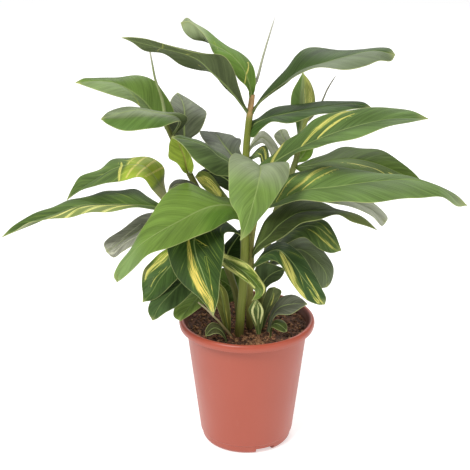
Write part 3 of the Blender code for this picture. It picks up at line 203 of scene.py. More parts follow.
# Leaves: what each grows from, its tone and its middle green, then three lines from foot to tip in cm:
# the rib, and the left and the right margin as seen from above. The margins start at the rib's foot and
# end at its tip. The grey tone is a greyish green that stands for the grey sheen on those leaves, painted
# sheen; the leaves whose green holds painted shade or painted light say so above their entry.
LEAVES = {
    "leaf_top": ("cane_main", "bright", (0.135, 0.235, 0.040), (
        (0.7, -2, 49.7), (0.4, -3, 51.8), (-0.4, -4, 54.2), (-1.8, -4.6, 56), (-3.6, -5, 57.2),
        (-5.2, -5.4, 58), (-6.6, -6, 58.4), (-7.6, -6.6, 59.4), (-8, -7.2, 60.6)), (
        (0, -3.6, 51.8), (-1, -4.6, 53), (-2, -5.8, 54.8), (-3, -6.6, 56.2), (-4, -7, 56.8),
        (-4.8, -7.2, 58.4), (-5.8, -7.4, 59.8), (-7, -7.6, 60.8)), (
        (1.2, -2.8, 52), (1, -2, 53.8), (0.4, -1, 54.6), (-0.8, -0.4, 55.4), (-2.8, -0.4, 56.6),
        (-4.6, -1.6, 58.2), (-6.4, -3, 59.8), (-7.4, -5, 60.8))),
    "leaf_top_left": ("cane_main", "dark", (0.102, 0.132, 0.052), (
        (0.3, -2.2, 48.2), (-0.8, -3.2, 49.8), (-2.4, -4.4, 52), (-4.4, -5.6, 54.2), (-5.8, -5.8, 55.6),
        (-7.2, -6, 56.4), (-10.2, -6, 57.2), (-13.2, -6.2, 58), (-15.4, -6.2, 58.6)), (
        (-0.4, -4, 50), (-1, -6, 52.4), (-1.6, -7.8, 55), (-3, -8.8, 56.8), (-5, -9.2, 57.2),
        (-6.8, -9.2, 57.6), (-10, -8.6, 58.2), (-12.4, -8, 58.8), (-14.2, -7, 58.8)), (
        (-1, -2.2, 49.6), (-2.6, -2, 51.2), (-4.4, -1.6, 53), (-6.2, -1.4, 53.4), (-8.4, -1.8, 54.4),
        (-10.6, -2.8, 55.8), (-12.8, -4.2, 56.6), (-14.2, -5.2, 57.8))),
    "leaf_top_right": ("cane_main", "dark", (0.044, 0.078, 0.018), (
        (0.4, -2.2, 47.6), (1.4, -2.2, 49.2), (2.8, -2.2, 50.4), (4.8, -2.2, 51.8), (6.8, -2.2, 53.4),
        (9.4, -2.2, 54.4), (12.6, -2.4, 55.4), (16.2, -2.6, 56.2), (18.8, -3, 55.8)), (
        (2, -1.4, 50), (3.2, -0.4, 51.2), (5, 0.8, 53), (6.6, 1.8, 54.8), (8, 2.4, 55.4),
        (11.6, 2.2, 55.4), (15.4, 1, 55.6), (18.2, -1, 56.2)), (
        (2, -2.8, 49.8), (3.2, -3.4, 51), (4.8, -4.2, 52.4), (6.6, -5, 53.8), (8.8, -5.6, 54.6),
        (12.2, -6, 54.6), (15, -5.8, 55), (16.6, -5, 55.4), (18.2, -4, 55.2))),
    "leaf_left_high": ("cane_left", "bright", (0.124, 0.202, 0.040), (
        (-10.3, -1.8, 45.8), (-10.8, -1.4, 47), (-12, -1.2, 47.8), (-13.4, -1.6, 49.6), (-15, -2, 51),
        (-16.8, -2.4, 52), (-19.2, -3, 52.4), (-21.8, -3, 52.2)), (
        (-11, -1.8, 46.8), (-12.8, -2.2, 48), (-14.2, -3.4, 49.6), (-15.8, -4.4, 50.6), (-17.8, -4.8, 51.2),
        (-19.6, -4.4, 51.8), (-20.8, -3.6, 52)), (
        (-9.4, -0.4, 47.2), (-9.8, 0, 48.6), (-11, 0.6, 50.4), (-12, 1, 51.4), (-14.2, 1, 52.2),
        (-17, 0, 52.2), (-19.4, -1.4, 52.4), (-20.8, -2.4, 52.6))),
    "leaf_left_canoe": ("cane_left", "mid", (0.092, 0.126, 0.044), (
        (-9.7, -1.8, 44.6), (-8.9, -2.4, 46), (-8.6, -3, 47), (-9, -3.7, 47.9), (-10.2, -4.4, 48.4),
        (-11.8, -4.8, 48.8), (-13.8, -5.2, 49.2), (-16.2, -5.6, 48.8), (-18.4, -6, 48.2)), (
        (-8.4, -5, 47.6), (-9.6, -6.6, 47.8), (-11, -7.8, 47.6), (-13.2, -8.4, 47.4), (-15.6, -8.2, 47.4),
        (-17.4, -7.2, 47.8)), (
        (-7.9, -1.8, 46.4), (-7.6, -2.2, 47.4), (-8.6, -2.7, 48.1), (-10, -3, 48.3), (-11.6, -3.3, 48.6),
        (-13.6, -3.4, 49), (-15.8, -3.8, 49.2), (-17.6, -4.8, 48.8))),
    "leaf_left_back": ("cane_left", "grey", (0.155, 0.180, 0.105), (
        (-8.7, -1.4, 42.2), (-8.2, 0, 43.8), (-8.2, 1, 45.2), (-8.2, 3, 46.6), (-8.6, 6, 47.4),
        (-9.4, 9, 48)), (
        (-9.6, -0.2, 44.4), (-10.4, 1, 46), (-10.4, 3.6, 47.2), (-10, 7, 47.8)), (
        (-7.2, 0, 44), (-6.2, 0.8, 44.6), (-5.4, 2, 46), (-5.4, 4.2, 46.6), (-7.2, 7, 47.2))),
    "leaf_centre_left": ("cane_main", "dark", (0.092, 0.140, 0.043), (
        (0, -2.8, 39), (-1.2, -4, 40.6), (-2.2, -5, 42.2), (-3.6, -6, 43.4), (-4.8, -6.4, 44.6),
        (-6.2, -7, 45.4), (-7.6, -7.6, 46), (-9.4, -8, 46.4)), (
        (-1, -5.6, 40), (-2.4, -7.6, 41.2), (-4, -9, 41.8), (-5.4, -10, 43), (-6.6, -10.4, 44.4),
        (-7.6, -10, 45.6), (-8.6, -9, 46.2)), (
        (-0.6, -2, 40), (-2.2, -2.4, 41.8), (-4, -3, 43.2), (-5.6, -4, 44.6), (-7.2, -5.6, 45.6),
        (-8.4, -7, 46.4))),
    "leaf_centre_back": ("cane_main", "grey", (0.102, 0.122, 0.072), (
        (0, -2.5, 41.6), (-1.6, 0, 41.4), (-2.6, 2, 42), (-3.4, 5, 42.2), (-4, 8, 42.2), (-5.4, 12, 41.6)),
        (
        (-2.2, -2, 41.4), (-4, 0, 42), (-5.4, 4, 42.2), (-6.4, 8, 42.6)), (
        (-0.8, 1, 42.2), (-0.6, 3.6, 42.6), (-1.4, 7, 42.2), (-3.2, 11, 41.6))),
    "leaf_young_left": ("cane_left", "bright", (0.280, 0.375, 0.042), (
        (-7.6, -1, 39.4), (-7.8, -3.2, 40.8), (-8, -4.2, 42.6), (-8.6, -4.8, 44.4), (-9, -5.2, 45.4),
        (-9.4, -5.2, 45.8)), (
        (-8.2, -3.4, 40.4), (-9, -4, 41.8), (-10, -4, 42.4), (-10, -4.4, 43.6), (-9.8, -5, 45)), (
        (-7, -3.4, 40.4), (-6.8, -3.8, 41.4), (-7.2, -4, 42.8), (-7.8, -4.4, 44), (-8.4, -5, 45.2))),
    "leaf_front_centre": ("cane_main", "bright", (0.150, 0.238, 0.050), (
        (0, -2.9, 37.2), (0.6, -6.4, 40.8), (1.6, -11, 43.6), (1.6, -14.4, 43.8), (1.2, -16.8, 42.6),
        (0.6, -18.2, 40.8), (0, -19.2, 39), (-0.8, -19.6, 37)), (
        (2, -5.6, 40.2), (4, -9, 43), (5.2, -12.4, 44.2), (5, -14.4, 43.2), (4, -15.8, 42),
        (2.6, -17, 40.2), (1.2, -18, 38.8), (0.4, -19, 37.8)), (
        (-0.4, -6.4, 42.2), (-1.4, -10, 45), (-2.2, -13.6, 45), (-2.2, -16, 43.4), (-2, -18, 41.2),
        (-1.2, -18.8, 40), (-0.8, -19.4, 38.4))),
    "leaf_front_left": ("cane_main", "bright", (0.145, 0.235, 0.041), (
        (0, -3, 33), (-1.8, -5, 36.2), (-4, -7, 37), (-6, -8.4, 36.8), (-8.4, -10, 36),
        (-10.8, -11.6, 35.2), (-13.4, -13, 33.8), (-15, -14, 32.2), (-16, -14.4, 30.8),
        (-16.2, -14.4, 29.4)), (
        (-1.4, -5, 34.4), (-2.8, -8, 35), (-4.6, -11, 35), (-7, -13, 34.6), (-9.4, -14.4, 34.2),
        (-12, -15.6, 33.6), (-13.6, -16, 32.2), (-15.4, -15.6, 30.4)), (
        (-1.6, -3.6, 36.6), (-4, -3.6, 37.2), (-6, -3.6, 38.2), (-7.8, -4, 39.2), (-9.4, -5, 38.8),
        (-11.2, -7, 37.4), (-13, -9.6, 35.2), (-14.6, -12, 33), (-16, -13.8, 31.6), (-16.6, -14.4, 30.2))),
    # Its green is lightened as painted light, for a leaf that lies in shadow.
    "leaf_left_grey": ("cane_low_left", "grey", (0.290, 0.290, 0.232), (
        (-8.4, -0.2, 31.6), (-10.6, -0.4, 32.4), (-13, -1, 32.2), (-14.8, -2, 31.4), (-16.8, -3, 30.4),
        (-18.6, -4, 29.4)), (
        (-10.2, -2.4, 32), (-12.8, -3.6, 31.2), (-14.6, -5, 30.8), (-16.4, -5.6, 30), (-17.6, -5, 29)), (
        (-10.6, 1, 33.2), (-13, 1.4, 33), (-14.8, 0.6, 32.6), (-17, -1, 31.3), (-19, -3.1, 30.3))),
    "leaf_left_long": ("cane_low_left", "striped", (0.082, 0.140, 0.030), (
        (-10.2, -1.2, 34.4), (-12.8, -2.6, 35.4), (-15.4, -3.2, 35.8), (-18.6, -3.6, 36), (-21.8, -4, 36),
        (-24.8, -4.2, 35), (-27.8, -4.2, 33.6), (-30.6, -4.2, 32.4), (-32.4, -4.2, 31.6)), (
        (-12, -3.6, 35.2), (-14, -5.4, 36.2), (-16.4, -6.6, 36.2), (-19.4, -7.4, 36.2), (-22.8, -7.4, 35.6),
        (-26, -7, 35), (-28.2, -6.2, 34.4), (-30.6, -5, 32.6)), (
        (-11.8, -1.2, 35.4), (-13.2, -0.4, 36), (-15.2, 1, 36.6), (-18.4, 1.2, 36.2), (-21.8, 0.8, 35.6),
        (-25, -0.6, 35), (-28.2, -2.2, 34.2), (-30.8, -3.4, 33))),
    "leaf_left_striped": ("cane_low_left", "striped", (0.104, 0.168, 0.042), (
        (-10, -1.1, 34), (-10.4, -0.1, 35.6), (-11.4, -0.4, 37.6), (-12.4, -0.6, 39.2), (-13.4, -0.4, 40.2),
        (-15.4, 0, 40.4), (-17.8, 0.4, 39.6), (-20.4, 1, 37.8), (-22.4, 1.4, 36.4), (-24.4, 1.6, 34.8)), (
        (-12.2, -2.4, 37.4), (-13.6, -3, 39.4), (-15.8, -3, 39.2), (-18.6, -2.4, 38.4), (-21, -1.4, 37.6),
        (-23.2, 0.2, 36)), (
        (-11, 1, 37.4), (-11, 1.8, 39.4), (-12.6, 2.6, 40.4), (-15.8, 3.6, 40.2), (-18.2, 3.8, 40),
        (-19.8, 3.4, 38.6), (-22.6, 2.8, 37.8), (-23.6, 2.2, 36.4))),
    "leaf_behind_left": ("cane_left", "grey", (0.075, 0.080, 0.055), (
        (-4.6, 0.3, 31.4), (-4.8, -1.5, 34), (-5.4, -2.6, 36), (-7.2, -3.2, 38), (-9, -3.6, 38.8),
        (-10.2, -4.2, 38)), (
        (-5.2, -4, 35.2), (-7.4, -4.8, 36.8), (-9.2, -5, 37.6)), (
        (-4.2, -1.4, 35.4), (-5.8, -1.6, 37.4), (-7.6, -2, 38.8), (-9.2, -2.4, 39), (-10, -3.4, 38.6))),
    "leaf_back_striped": ("cane_main", "striped", (0.200, 0.250, 0.055), (
        (0, -3, 34), (-1.9, -0.6, 34.4), (-3.5, 0, 35.8), (-4.9, 0.4, 37.4), (-6.8, 0.8, 38.4)), (
        (-2.6, -1.6, 34.4), (-4.2, -0.8, 36), (-5.5, -0.3, 37), (-6.3, 0.2, 37.8)), (
        (-1.9, 0.8, 34.8), (-3.4, 1.3, 36.6), (-4.5, 1.6, 38.2), (-5.5, 1.7, 38.9), (-6.4, 1.4, 38.8))),
    # Its green is darkened to near black as painted shade.
    "leaf_back_dark": ("cane_main", "dark", (0.025, 0.044, 0.010), (
        (0, -2.9, 37.6), (-1.4, 1, 37), (-3, 3, 37.6), (-4.8, 4, 38), (-6.6, 4.6, 37.8)), (
        (-1.6, 0.6, 36.2), (-3.2, 2.2, 36.4), (-4.8, 3.2, 37.2)), (
        (-1.4, 3, 37.6), (-3.2, 5, 38.2), (-5.2, 5.6, 38.2))),
    "leaf_upright_right": ("cane_far_right", "striped", (0.175, 0.265, 0.100), (
        (7.2, 2.9, 42.2), (7.2, 2, 43.8), (7.4, 2.2, 45.6), (7.6, 3, 47.4), (7.6, 3.6, 49),
        (7.6, 4.6, 51.8)), (
        (8.4, 2.6, 45.8), (9.2, 3, 47.6), (9.2, 3.6, 49), (8.6, 4.2, 50.6)), (
        (6.6, 2.6, 45.8), (6, 3, 47.6), (6.2, 3.6, 49.4), (7, 4.2, 50.8))),
    "leaf_right_high": ("cane_main", "dark", (0.053, 0.100, 0.022), (
        (0.2, -2.3, 45), (1, -2, 46.4), (2.8, -1.8, 47.2), (5.8, -1.4, 47.8), (9.6, -1, 48.4),
        (13.6, -0.6, 48.8), (16.4, 0, 48.2)), (
        (0.4, -1, 46.4), (1.4, 0.2, 46.6), (3.2, 1, 47.6), (5.2, 1.6, 48), (8.8, 1.8, 48.4),
        (13, 1.6, 48.6), (15.4, 1.2, 48.6)), (
        (1, -3.2, 45), (2, -3.8, 46.4), (3.2, -4.4, 47.4), (5.2, -4.6, 47.2), (7.8, -4.4, 48),
        (11.4, -3.4, 48.4), (14.4, -1.6, 48.4))),
    "leaf_right_striped": ("cane_main", "mid", (0.106, 0.174, 0.046), (
        (0, -2.8, 38.4), (2, -4.6, 40.8), (4.2, -6.2, 43), (6.8, -7.8, 45), (9.2, -9.2, 46.6),
        (12.6, -10.2, 48.2), (17.4, -11.2, 49.6), (22, -11.8, 49.8)), (
        (1.8, -3.2, 41.4), (3.6, -3.8, 43), (5, -4.6, 44.8), (6.8, -5.4, 46.4), (8.4, -6, 48),
        (11.8, -6.6, 49.4), (14.8, -7.6, 50), (17.6, -8.8, 50.4), (20.2, -10.4, 50.4)), (
        (2.2, -5.2, 40.2), (4.4, -7.6, 42.6), (6.4, -10, 45), (9.2, -12.6, 46.6), (11.8, -13.8, 47.6),
        (14.6, -14.2, 48.6), (17.6, -14, 49.6), (20.2, -13, 49.8))),
    "leaf_right_arched": ("cane_far_right", "mid", (0.090, 0.144, 0.026), (
        (6.4, 2.5, 39.2), (8.4, 1.8, 39.6), (11.2, 2, 40.2), (14.2, 2.4, 40.4), (17.6, 3, 39.6),
        (21, 3, 38.2), (24.4, 2.4, 36.8)), (
        (8, 4, 39.4), (10.4, 6, 39.8), (13.6, 7.6, 40.4), (17.4, 7.6, 40.4), (20.2, 6, 39.8),
        (22.8, 4, 38.2)), (
        (8, -0.4, 39.2), (10.4, -1.6, 40), (13.8, -1.8, 40.2), (17, -1.6, 39.6), (20.6, -0.4, 38.2),
        (22.8, 1, 37.2))),
    "leaf_right_front": ("cane_main", "mid", (0.132, 0.212, 0.056), (
        (0, -3, 34.4), (2, -5, 36), (4, -7, 37.4), (6.8, -9.6, 39.8), (11, -12, 41.2),
        (15.6, -13.6, 42.4), (20.4, -14.4, 42.8), (24, -15, 41.8), (26.8, -15, 39.8)), (
        (2, -4, 36.8), (3.8, -4.4, 38.6), (5.8, -5, 40.6), (8.2, -6, 41.6), (11.8, -8, 42.6),
        (15.4, -10, 42.4), (18.8, -12, 42.8), (22.4, -13.6, 42.2), (25.4, -14.4, 41)), (
        (2.8, -7.6, 36.8), (4.8, -11, 38.6), (7.2, -13.6, 40), (10, -16, 40.6), (12.8, -18, 41.2),
        (16.2, -19, 41.8), (19.8, -18.4, 41.8), (23.2, -17, 41.6), (25.4, -16, 40))),
    "leaf_right_dark": ("cane_right", "dark", (0.068, 0.096, 0.024), (
        (0.7, -1.8, 27.6), (1.5, -3.6, 30), (3, -5, 32), (4.4, -6.4, 34.2), (6.8, -8, 36.4), (9.4, -9, 37),
        (11.8, -9.8, 37.2), (14.6, -10.4, 36.6), (16.6, -10.8, 35)), (
        (1.8, -3, 31.8), (3.2, -3.6, 34.6), (5.2, -4, 36.2), (7.4, -4.4, 36.8), (9.6, -5.6, 37),
        (11.8, -7, 36.4), (14.4, -8.8, 36.2)), (
        (2.4, -6, 30.8), (4, -8.4, 32.8), (5.6, -10.4, 34.6), (7, -11.6, 36.4), (9.2, -12.4, 37),
        (11.4, -12.2, 37.6), (13.2, -12, 36.6), (15.2, -11.6, 35.8))),
    "leaf_right_tip": ("cane_far_right", "grey", (0.240, 0.260, 0.180), (
        (4.4, 2.6, 33.6), (7.6, 3.6, 34.8), (11.6, 4, 34.8), (15.2, 4, 33.6), (17.6, 3.6, 32.6),
        (19.4, 3, 31)), (
        (7.6, 5.6, 35.2), (11.8, 6.6, 34.8), (15.8, 6, 34), (18.2, 5, 33), (19.8, 4, 31.4)), (
        (7.6, 1.6, 34.4), (11.4, 1.2, 34.6), (14.8, 1.6, 33.6), (17.4, 1.8, 32.4), (18.8, 2.2, 30.8))),
    "leaf_right_low_striped": ("cane_far_right", "striped", (0.086, 0.138, 0.038), (
        (2.9, 2.3, 26.4), (4.6, -1.6, 30), (6.8, -4, 32.8), (9, -6, 33.8), (11, -7, 32.6),
        (12.4, -7.6, 31)), (
        (5.8, -0.4, 31.6), (7.6, -2.4, 33.6), (10.4, -4.4, 34), (11.6, -6, 32.8)), (
        (5.2, -3.6, 30.2), (7.6, -6.4, 32.4), (9.4, -8, 31.4), (11, -8, 30.8))),
    "leaf_right_low_grey": ("cane_far_right", "grey", (0.105, 0.134, 0.063), (
        (2.8, 2.2, 24.6), (5, 0.4, 27.4), (7.4, -1, 28.6), (9.4, -2.2, 27.6), (10.8, -3, 26),
        (11, -3.4, 24)), (
        (5.8, 2.2, 28.8), (8.4, 1.8, 29.2), (10.8, 0.4, 27.8), (12, -1.2, 26), (11.6, -2.6, 24.4)), (
        (5.4, -2, 26.8), (7.4, -3.2, 26.8), (9, -4, 25.6), (10, -4, 24.2))),
    "leaf_right_hanging": ("cane_right", "striped", (0.049, 0.094, 0.026), (
        (0.7, -1.7, 26), (2.5, -4.4, 29.2), (4.4, -7, 30.8), (6, -8.8, 29.8), (7.4, -9.8, 28),
        (9, -10.4, 26.2), (10.2, -10.4, 24.6)), (
        (3.2, -3.6, 30.2), (5.2, -5.2, 31.2), (7, -6.8, 30.4), (8.8, -8.2, 28.2), (9.8, -9.2, 26.4),
        (10.4, -9.8, 25.2)), (
        (3.6, -7.6, 29.6), (4.6, -9.6, 29.6), (5.8, -11, 27.8), (7.6, -11.4, 25.8), (9.4, -11, 24.8))),
    "leaf_right_shade": ("cane_far_right", "dark", (0.064, 0.097, 0.034), (
        (2.3, 1.8, 19.8), (2.1, 0.7, 21.6), (2.5, 0.3, 23.2), (3.3, 0.1, 24.3), (4.4, 0, 25),
        (5.4, -0.1, 25.4)), (
        (1.4, 0.4, 22.8), (1.2, 0, 24.6), (1.6, -0.2, 25.9), (2.6, -0.3, 26.4), (3.9, -0.3, 26.1)), (
        (2.7, 0.6, 21.9), (3.6, 0.5, 22.9), (4.7, 0.4, 23.6), (5.3, 0.2, 24.6))),
    "leaf_centre_low_striped": ("cane_low_left", "striped", (0.122, 0.192, 0.034), (
        (-5.4, 1, 26.8), (-3.4, -3, 28.2), (-1.6, -5.6, 28.2), (0.2, -7.2, 27.4), (1.6, -7.8, 26),
        (2, -7.8, 25), (0.8, -7.4, 23.8)), (
        (-3.8, -1.8, 28.6), (-2.2, -4.2, 29), (-0.6, -5.4, 28.8), (0.6, -6, 28.2), (1.8, -6.6, 26.8),
        (2.6, -7, 25.4), (1.8, -7, 24)), (
        (-3.8, -3.8, 27.6), (-2.2, -6.6, 27.8), (-0.6, -8.4, 27.4), (0.4, -9, 26.8), (1.2, -9, 25.8),
        (1, -8.2, 24.6))),
    "leaf_front_low": ("cane_main", "striped", (0.038, 0.075, 0.014), (
        (0, -3.1, 31), (-2.4, -4.6, 33.6), (-5, -6.8, 34.2), (-6.6, -9.2, 33.4), (-6.4, -11, 31.8),
        (-5.6, -12, 29.8), (-4.8, -12.4, 27.2), (-4.2, -13, 24.2)), (
        (-1.8, -6, 33), (-2.8, -8, 33.4), (-2.8, -10, 32.4), (-3, -11, 30.8), (-3.4, -11.8, 28.4),
        (-3.6, -12.4, 26.2)), (
        (-4.2, -4.4, 34.6), (-7.8, -6.2, 34.2), (-10.2, -8, 33), (-10, -9.6, 31), (-9.2, -10.4, 29),
        (-7.8, -11, 27.4), (-6, -12, 26.2), (-5, -12.6, 25.2))),
    "leaf_left_low_yellow": ("cane_low_left", "dark", (0.052, 0.098, 0.022), (
        (-6.6, 0.6, 29), (-8.4, -1.6, 28.8), (-10, -3, 27.2), (-11.6, -4.4, 25.6), (-12.6, -5.6, 24.2),
        (-13.8, -6, 23)), (
        (-7.6, -3.2, 28), (-8.6, -5, 26.6), (-10.2, -6.2, 25.2), (-12.2, -6.6, 23.6)), (
        (-9.2, 0, 29), (-11.2, -1, 28.4), (-12.8, -2, 27.2), (-13.8, -3.2, 26.4), (-14, -4.4, 25),
        (-13.8, -5.6, 24))),
    "leaf_left_low_dark": ("cane_low_left", "dark", (0.066, 0.115, 0.034), (
        (-5, 1, 25.6), (-6.8, -3, 26.2), (-8.6, -5, 25.4), (-10, -6.4, 24.4), (-11.4, -7.6, 23.2),
        (-12.4, -8, 21.2)), (
        (-6.4, -5.2, 25.4), (-7.6, -7.2, 24.4), (-9.2, -8.4, 23.4), (-10.6, -8.6, 22.6),
        (-11.8, -8.4, 21.6)), (
        (-7.4, -1.6, 26.8), (-9.4, -3.2, 25.8), (-11.4, -4.8, 24.4), (-12.8, -6.2, 23), (-13, -7.4, 22.2))),
    "leaf_left_rim": ("cane_low_left", "mid", (0.230, 0.335, 0.078), (
        (-3.9, 1, 23), (-5.6, -2, 23), (-7, -4, 22.2), (-8, -5.2, 21.4), (-8.8, -6, 20.2)), (
        (-4.8, -2.8, 22.4), (-6, -4.8, 21.8), (-7.2, -5.8, 21.2), (-8.2, -6, 20.6)), (
        (-6.2, -0.4, 23.6), (-8, -2, 22.8), (-9.4, -3.8, 21.8), (-9.8, -5, 21), (-9.6, -5.8, 20.6))),
    "leaf_basal_sheath": ("soil", "bright", (0.160, 0.172, 0.032), (
        (-2.4, -2.8, 15), (-2.4, -2.8, 17), (-2.8, -2.8, 19.2), (-3.2, -2.6, 21.8), (-3.8, -2.2, 24.4)), (
        (-2.7, -2.8, 17), (-3.2, -3.2, 18.8), (-4, -2.8, 21.2), (-4.4, -2.6, 23.2)), (
        (-2.1, -2.8, 17), (-2, -3, 18.8), (-2.2, -2.8, 21), (-2.6, -2.4, 23))),
    # Its green is darkened and browned as painted shade, low among the stems.
    "leaf_basal_left": ("soil", "mid", (0.054, 0.058, 0.019), (
        (-2.5, -5.6, 15), (-2.6, -5.6, 17), (-3.3, -5.9, 18.7), (-4.2, -6, 19.2), (-5, -6.2, 18.7),
        (-5.4, -6.3, 18.1)), (
        (-2.7, -5.9, 17.1), (-3.6, -6.4, 18.5), (-4.2, -6.6, 18.6), (-5, -6.6, 18.3)), (
        (-2.6, -5.3, 17.1), (-3.4, -5.5, 19.3), (-4.6, -5.6, 19.8), (-5.4, -5.8, 18.9))),
    "leaf_basal_striped": ("soil", "striped", (0.130, 0.190, 0.055), (
        (1.8, -3.6, 15), (1.8, -3.6, 17.4), (1.6, -4.1, 19.6), (1.6, -4.4, 21.4), (1.4, -4.2, 22.6)), (
        (1.5, -3.6, 17.4), (0.8, -4.1, 19.8), (0.4, -4.4, 21.2), (0.8, -4.2, 22)), (
        (2.1, -3.6, 17.4), (2.4, -4.1, 19.8), (2.4, -4.4, 21.2), (2, -4.2, 22))),
    "leaf_basal_dark": ("soil", "dark", (0.092, 0.112, 0.043), (
        (2.3, -1.6, 15), (2.3, -1.6, 17.2), (3, -1.6, 20.2), (3.6, -1, 21.6), (4, -0.4, 22.8)), (
        (2, -1.6, 17.3), (2.2, -1.2, 19.6), (2.6, -0.6, 21.2), (3.2, 0, 22.4)), (
        (2.6, -1.6, 17.3), (3.6, -1.6, 20), (4.6, -1.2, 21.4), (5, -0.4, 22.2))),
    "leaf_basal_grey": ("soil", "grey", (0.124, 0.134, 0.088), (
        (3.2, -2.9, 15), (3.2, -2.9, 17.2), (3.5, -3, 19.2), (4.6, -3.4, 21), (6.2, -4, 21.8),
        (8.4, -4, 21.8)), (
        (3, -2.7, 17.3), (3.6, -2.4, 20.2), (4.8, -1.8, 21.8), (6.4, -2.2, 22.4), (7.6, -3, 22.2)), (
        (3.4, -3.1, 17.3), (4.2, -4.2, 20.2), (6, -5.2, 20.8), (7.4, -5, 21.6))),
    "leaf_basal_right": ("soil", "mid", (0.058, 0.080, 0.018), (
        (3.4, -4.2, 15), (3.4, -4.2, 17.2), (3.8, -4.4, 19), (4.6, -5, 19.2), (5.6, -5.4, 18.4)), (
        (3.5, -3.9, 17.3), (3.9, -3.6, 19.2), (5, -4, 19.4), (5.6, -4.8, 19)), (
        (3.3, -4.5, 17.3), (3.5, -5.2, 18.9), (4.3, -5.9, 18.8), (5.2, -5.8, 18.4))),
    "leaf_arch_behind": ("cane_main", "grey", (0.370, 0.390, 0.270), (
        (0.1, -2.4, 42.8), (1.4, 0, 43.6), (2.2, 1, 43.8), (3.2, 1.6, 42.8), (4, 2, 41.4), (4.8, 2, 39.6)),
        (
        (1.4, 1.6, 44), (2.4, 3, 44.2), (3.8, 3.6, 42.6), (4.8, 3.2, 40.8)), (
        (1.4, -1.2, 43.4), (2.2, -0.8, 43.6), (3, 0, 42.4), (3.6, 0.6, 40.8))),
    "leaf_small_variegated": ("cane_main", "striped", (0.110, 0.165, 0.055), (
        (0, -2.5, 41.4), (1.4, -1.6, 42.6), (2, -1.4, 43), (2.4, -1.6, 42.2), (2.6, -1.8, 40.8)), (
        (1.8, -0.8, 43), (2.6, -0.6, 43.2), (3, -0.8, 42.2), (3, -1.2, 41.2)), (
        (1.6, -2.2, 42), (1.8, -2.2, 42), (2, -2.2, 41.2))),
    "leaf_small_back": ("cane_far_right", "grey", (0.260, 0.290, 0.175), (
        (6.9, 2.7, 40.8), (6, 4.4, 41.6), (5.2, 6, 42.4), (4.8, 8, 43)), (
        (5.2, 4, 41.4), (4.4, 5.4, 41.8), (4, 7.4, 42.4)), (
        (7, 5, 41.6), (6.2, 6.4, 42.2), (5.6, 8, 43))),
    "leaf_right_inner": ("cane_far_right", "mid", (0.190, 0.320, 0.042), (
        (6.6, 2.6, 39.8), (7.6, 5, 39.8), (8.4, 6.2, 40.6), (8.8, 7, 41.8)), (
        (7.2, 5.6, 40.2), (7.6, 6.4, 41), (8, 6.8, 41.8)), (
        (8.4, 5.4, 39.2), (9.2, 6.2, 39.8), (9.4, 6.8, 41))),
    # Its green is darkened to near black as painted shade among the canes.
    "leaf_shade_centre": ("cane_left", "dark", (0.016, 0.034, 0.006), (
        (-2.5, 0.4, 25.2), (-2.6, 1.9, 26.5), (-1.6, 2.7, 28.2), (-0.2, 3.4, 29.9)), (
        (-3.2, 2.3, 26.6), (-2.9, 3, 27.8), (-2.1, 3.8, 28.4), (-1.1, 4.2, 29.4)), (
        (-1.3, 1.4, 25.6), (0, 1.9, 26.6), (0.5, 2.6, 28), (0.3, 3.2, 29.2))),
    # Drawn large, reaching down behind the canes as a dark sheet that fills the deep shade there: painted
    # shade.
    "leaf_shade_low": ("cane_left", "dark", (0.118, 0.195, 0.038), (
        (-1.2, -0.1, 21.2), (-1.7, 2, 21.4), (-2.6, 2.7, 22), (-3.6, 3, 22.5), (-4.6, 3, 22.8)), (
        (-1.7, 1.9, 19.6), (-2.8, 2.4, 19.2), (-3.9, 2.6, 19.9), (-4.7, 2.8, 21.3)), (
        (-0.6, 2.2, 23), (-1.8, 3, 24.2), (-3.1, 3.2, 24.2), (-4.1, 3.1, 23.6))),
}

# How far a leaf's dark and light parts lie from its shade
SPREAD = {"dark": 0.52, "mid": 0.46, "bright": 0.34, "grey": 0.48, "striped": 0.52}

# How readily fine yellow streaks show on it
STREAK_BIAS = {"dark": 0.0, "mid": 0.10, "bright": 0.06, "grey": 0.0, "striped": 0.24}

# Grains of the leaves: broad, veins, fine and clouds, each with its spacing along, its stretch across
# and its detail; then the middle range of their values
GRAINS = ((9 * MM, 2.0, 2.0), (2.4 * MM, 2.0, 1.0), (0.8 * MM, 1.2, 0.0), (55 * MM, 1.0, 1.0))
GRAIN_RANGE = (0.34, 0.66)

# How far broad grain, veins and clouds lighten a leaf
LIGHT_SHARES = (0.32, 0.26, 0.42)

# Streaks: the shares of broad grain, veins and bias, then where they turn greenish and where yellow
STREAK_SHARES = (1.3, 0.9, 1.7)
STREAK_GREEN = (1.66, 1.95)
STREAK_YELLOW = (1.86, 2.0)

# In millimetres: the rib's half width at the foot, what it loses towards the tip, its soft side, and the
# margin's width; then where along the leaf the pale tip starts
RIB_HALF_WIDTH = 1.5
RIB_TAPER = -1.1
RIB_SIDE = (-0.4, 0.5)
MARGIN_WIDTH = (0.3, 1.1)
TIP_START = 0.93

# Colours that the leaves share, linear values like all colours here
YELLOW = (0.66, 0.61, 0.16)
YELLOW_GREEN = (0.31, 0.38, 0.060)
MARGIN = (0.42, 0.46, 0.17)

# The common look: colours of strokes, of the green round them, of underside and rib, then how far the
# rib and the margin show, and the shine
COMMON_LOOK = {
    "stroke": YELLOW,
    "halo": YELLOW_GREEN,
    # The underside colour: the leaf's own greyer underside, made darker as painted shade for undersides
    # that face down.
    "under": (0.085, 0.112, 0.052),
    "rib_colour": (0.30, 0.38, 0.13),
    "rib": 0.65,
    "margin": 0.75,
    "shine": 0.12,
}

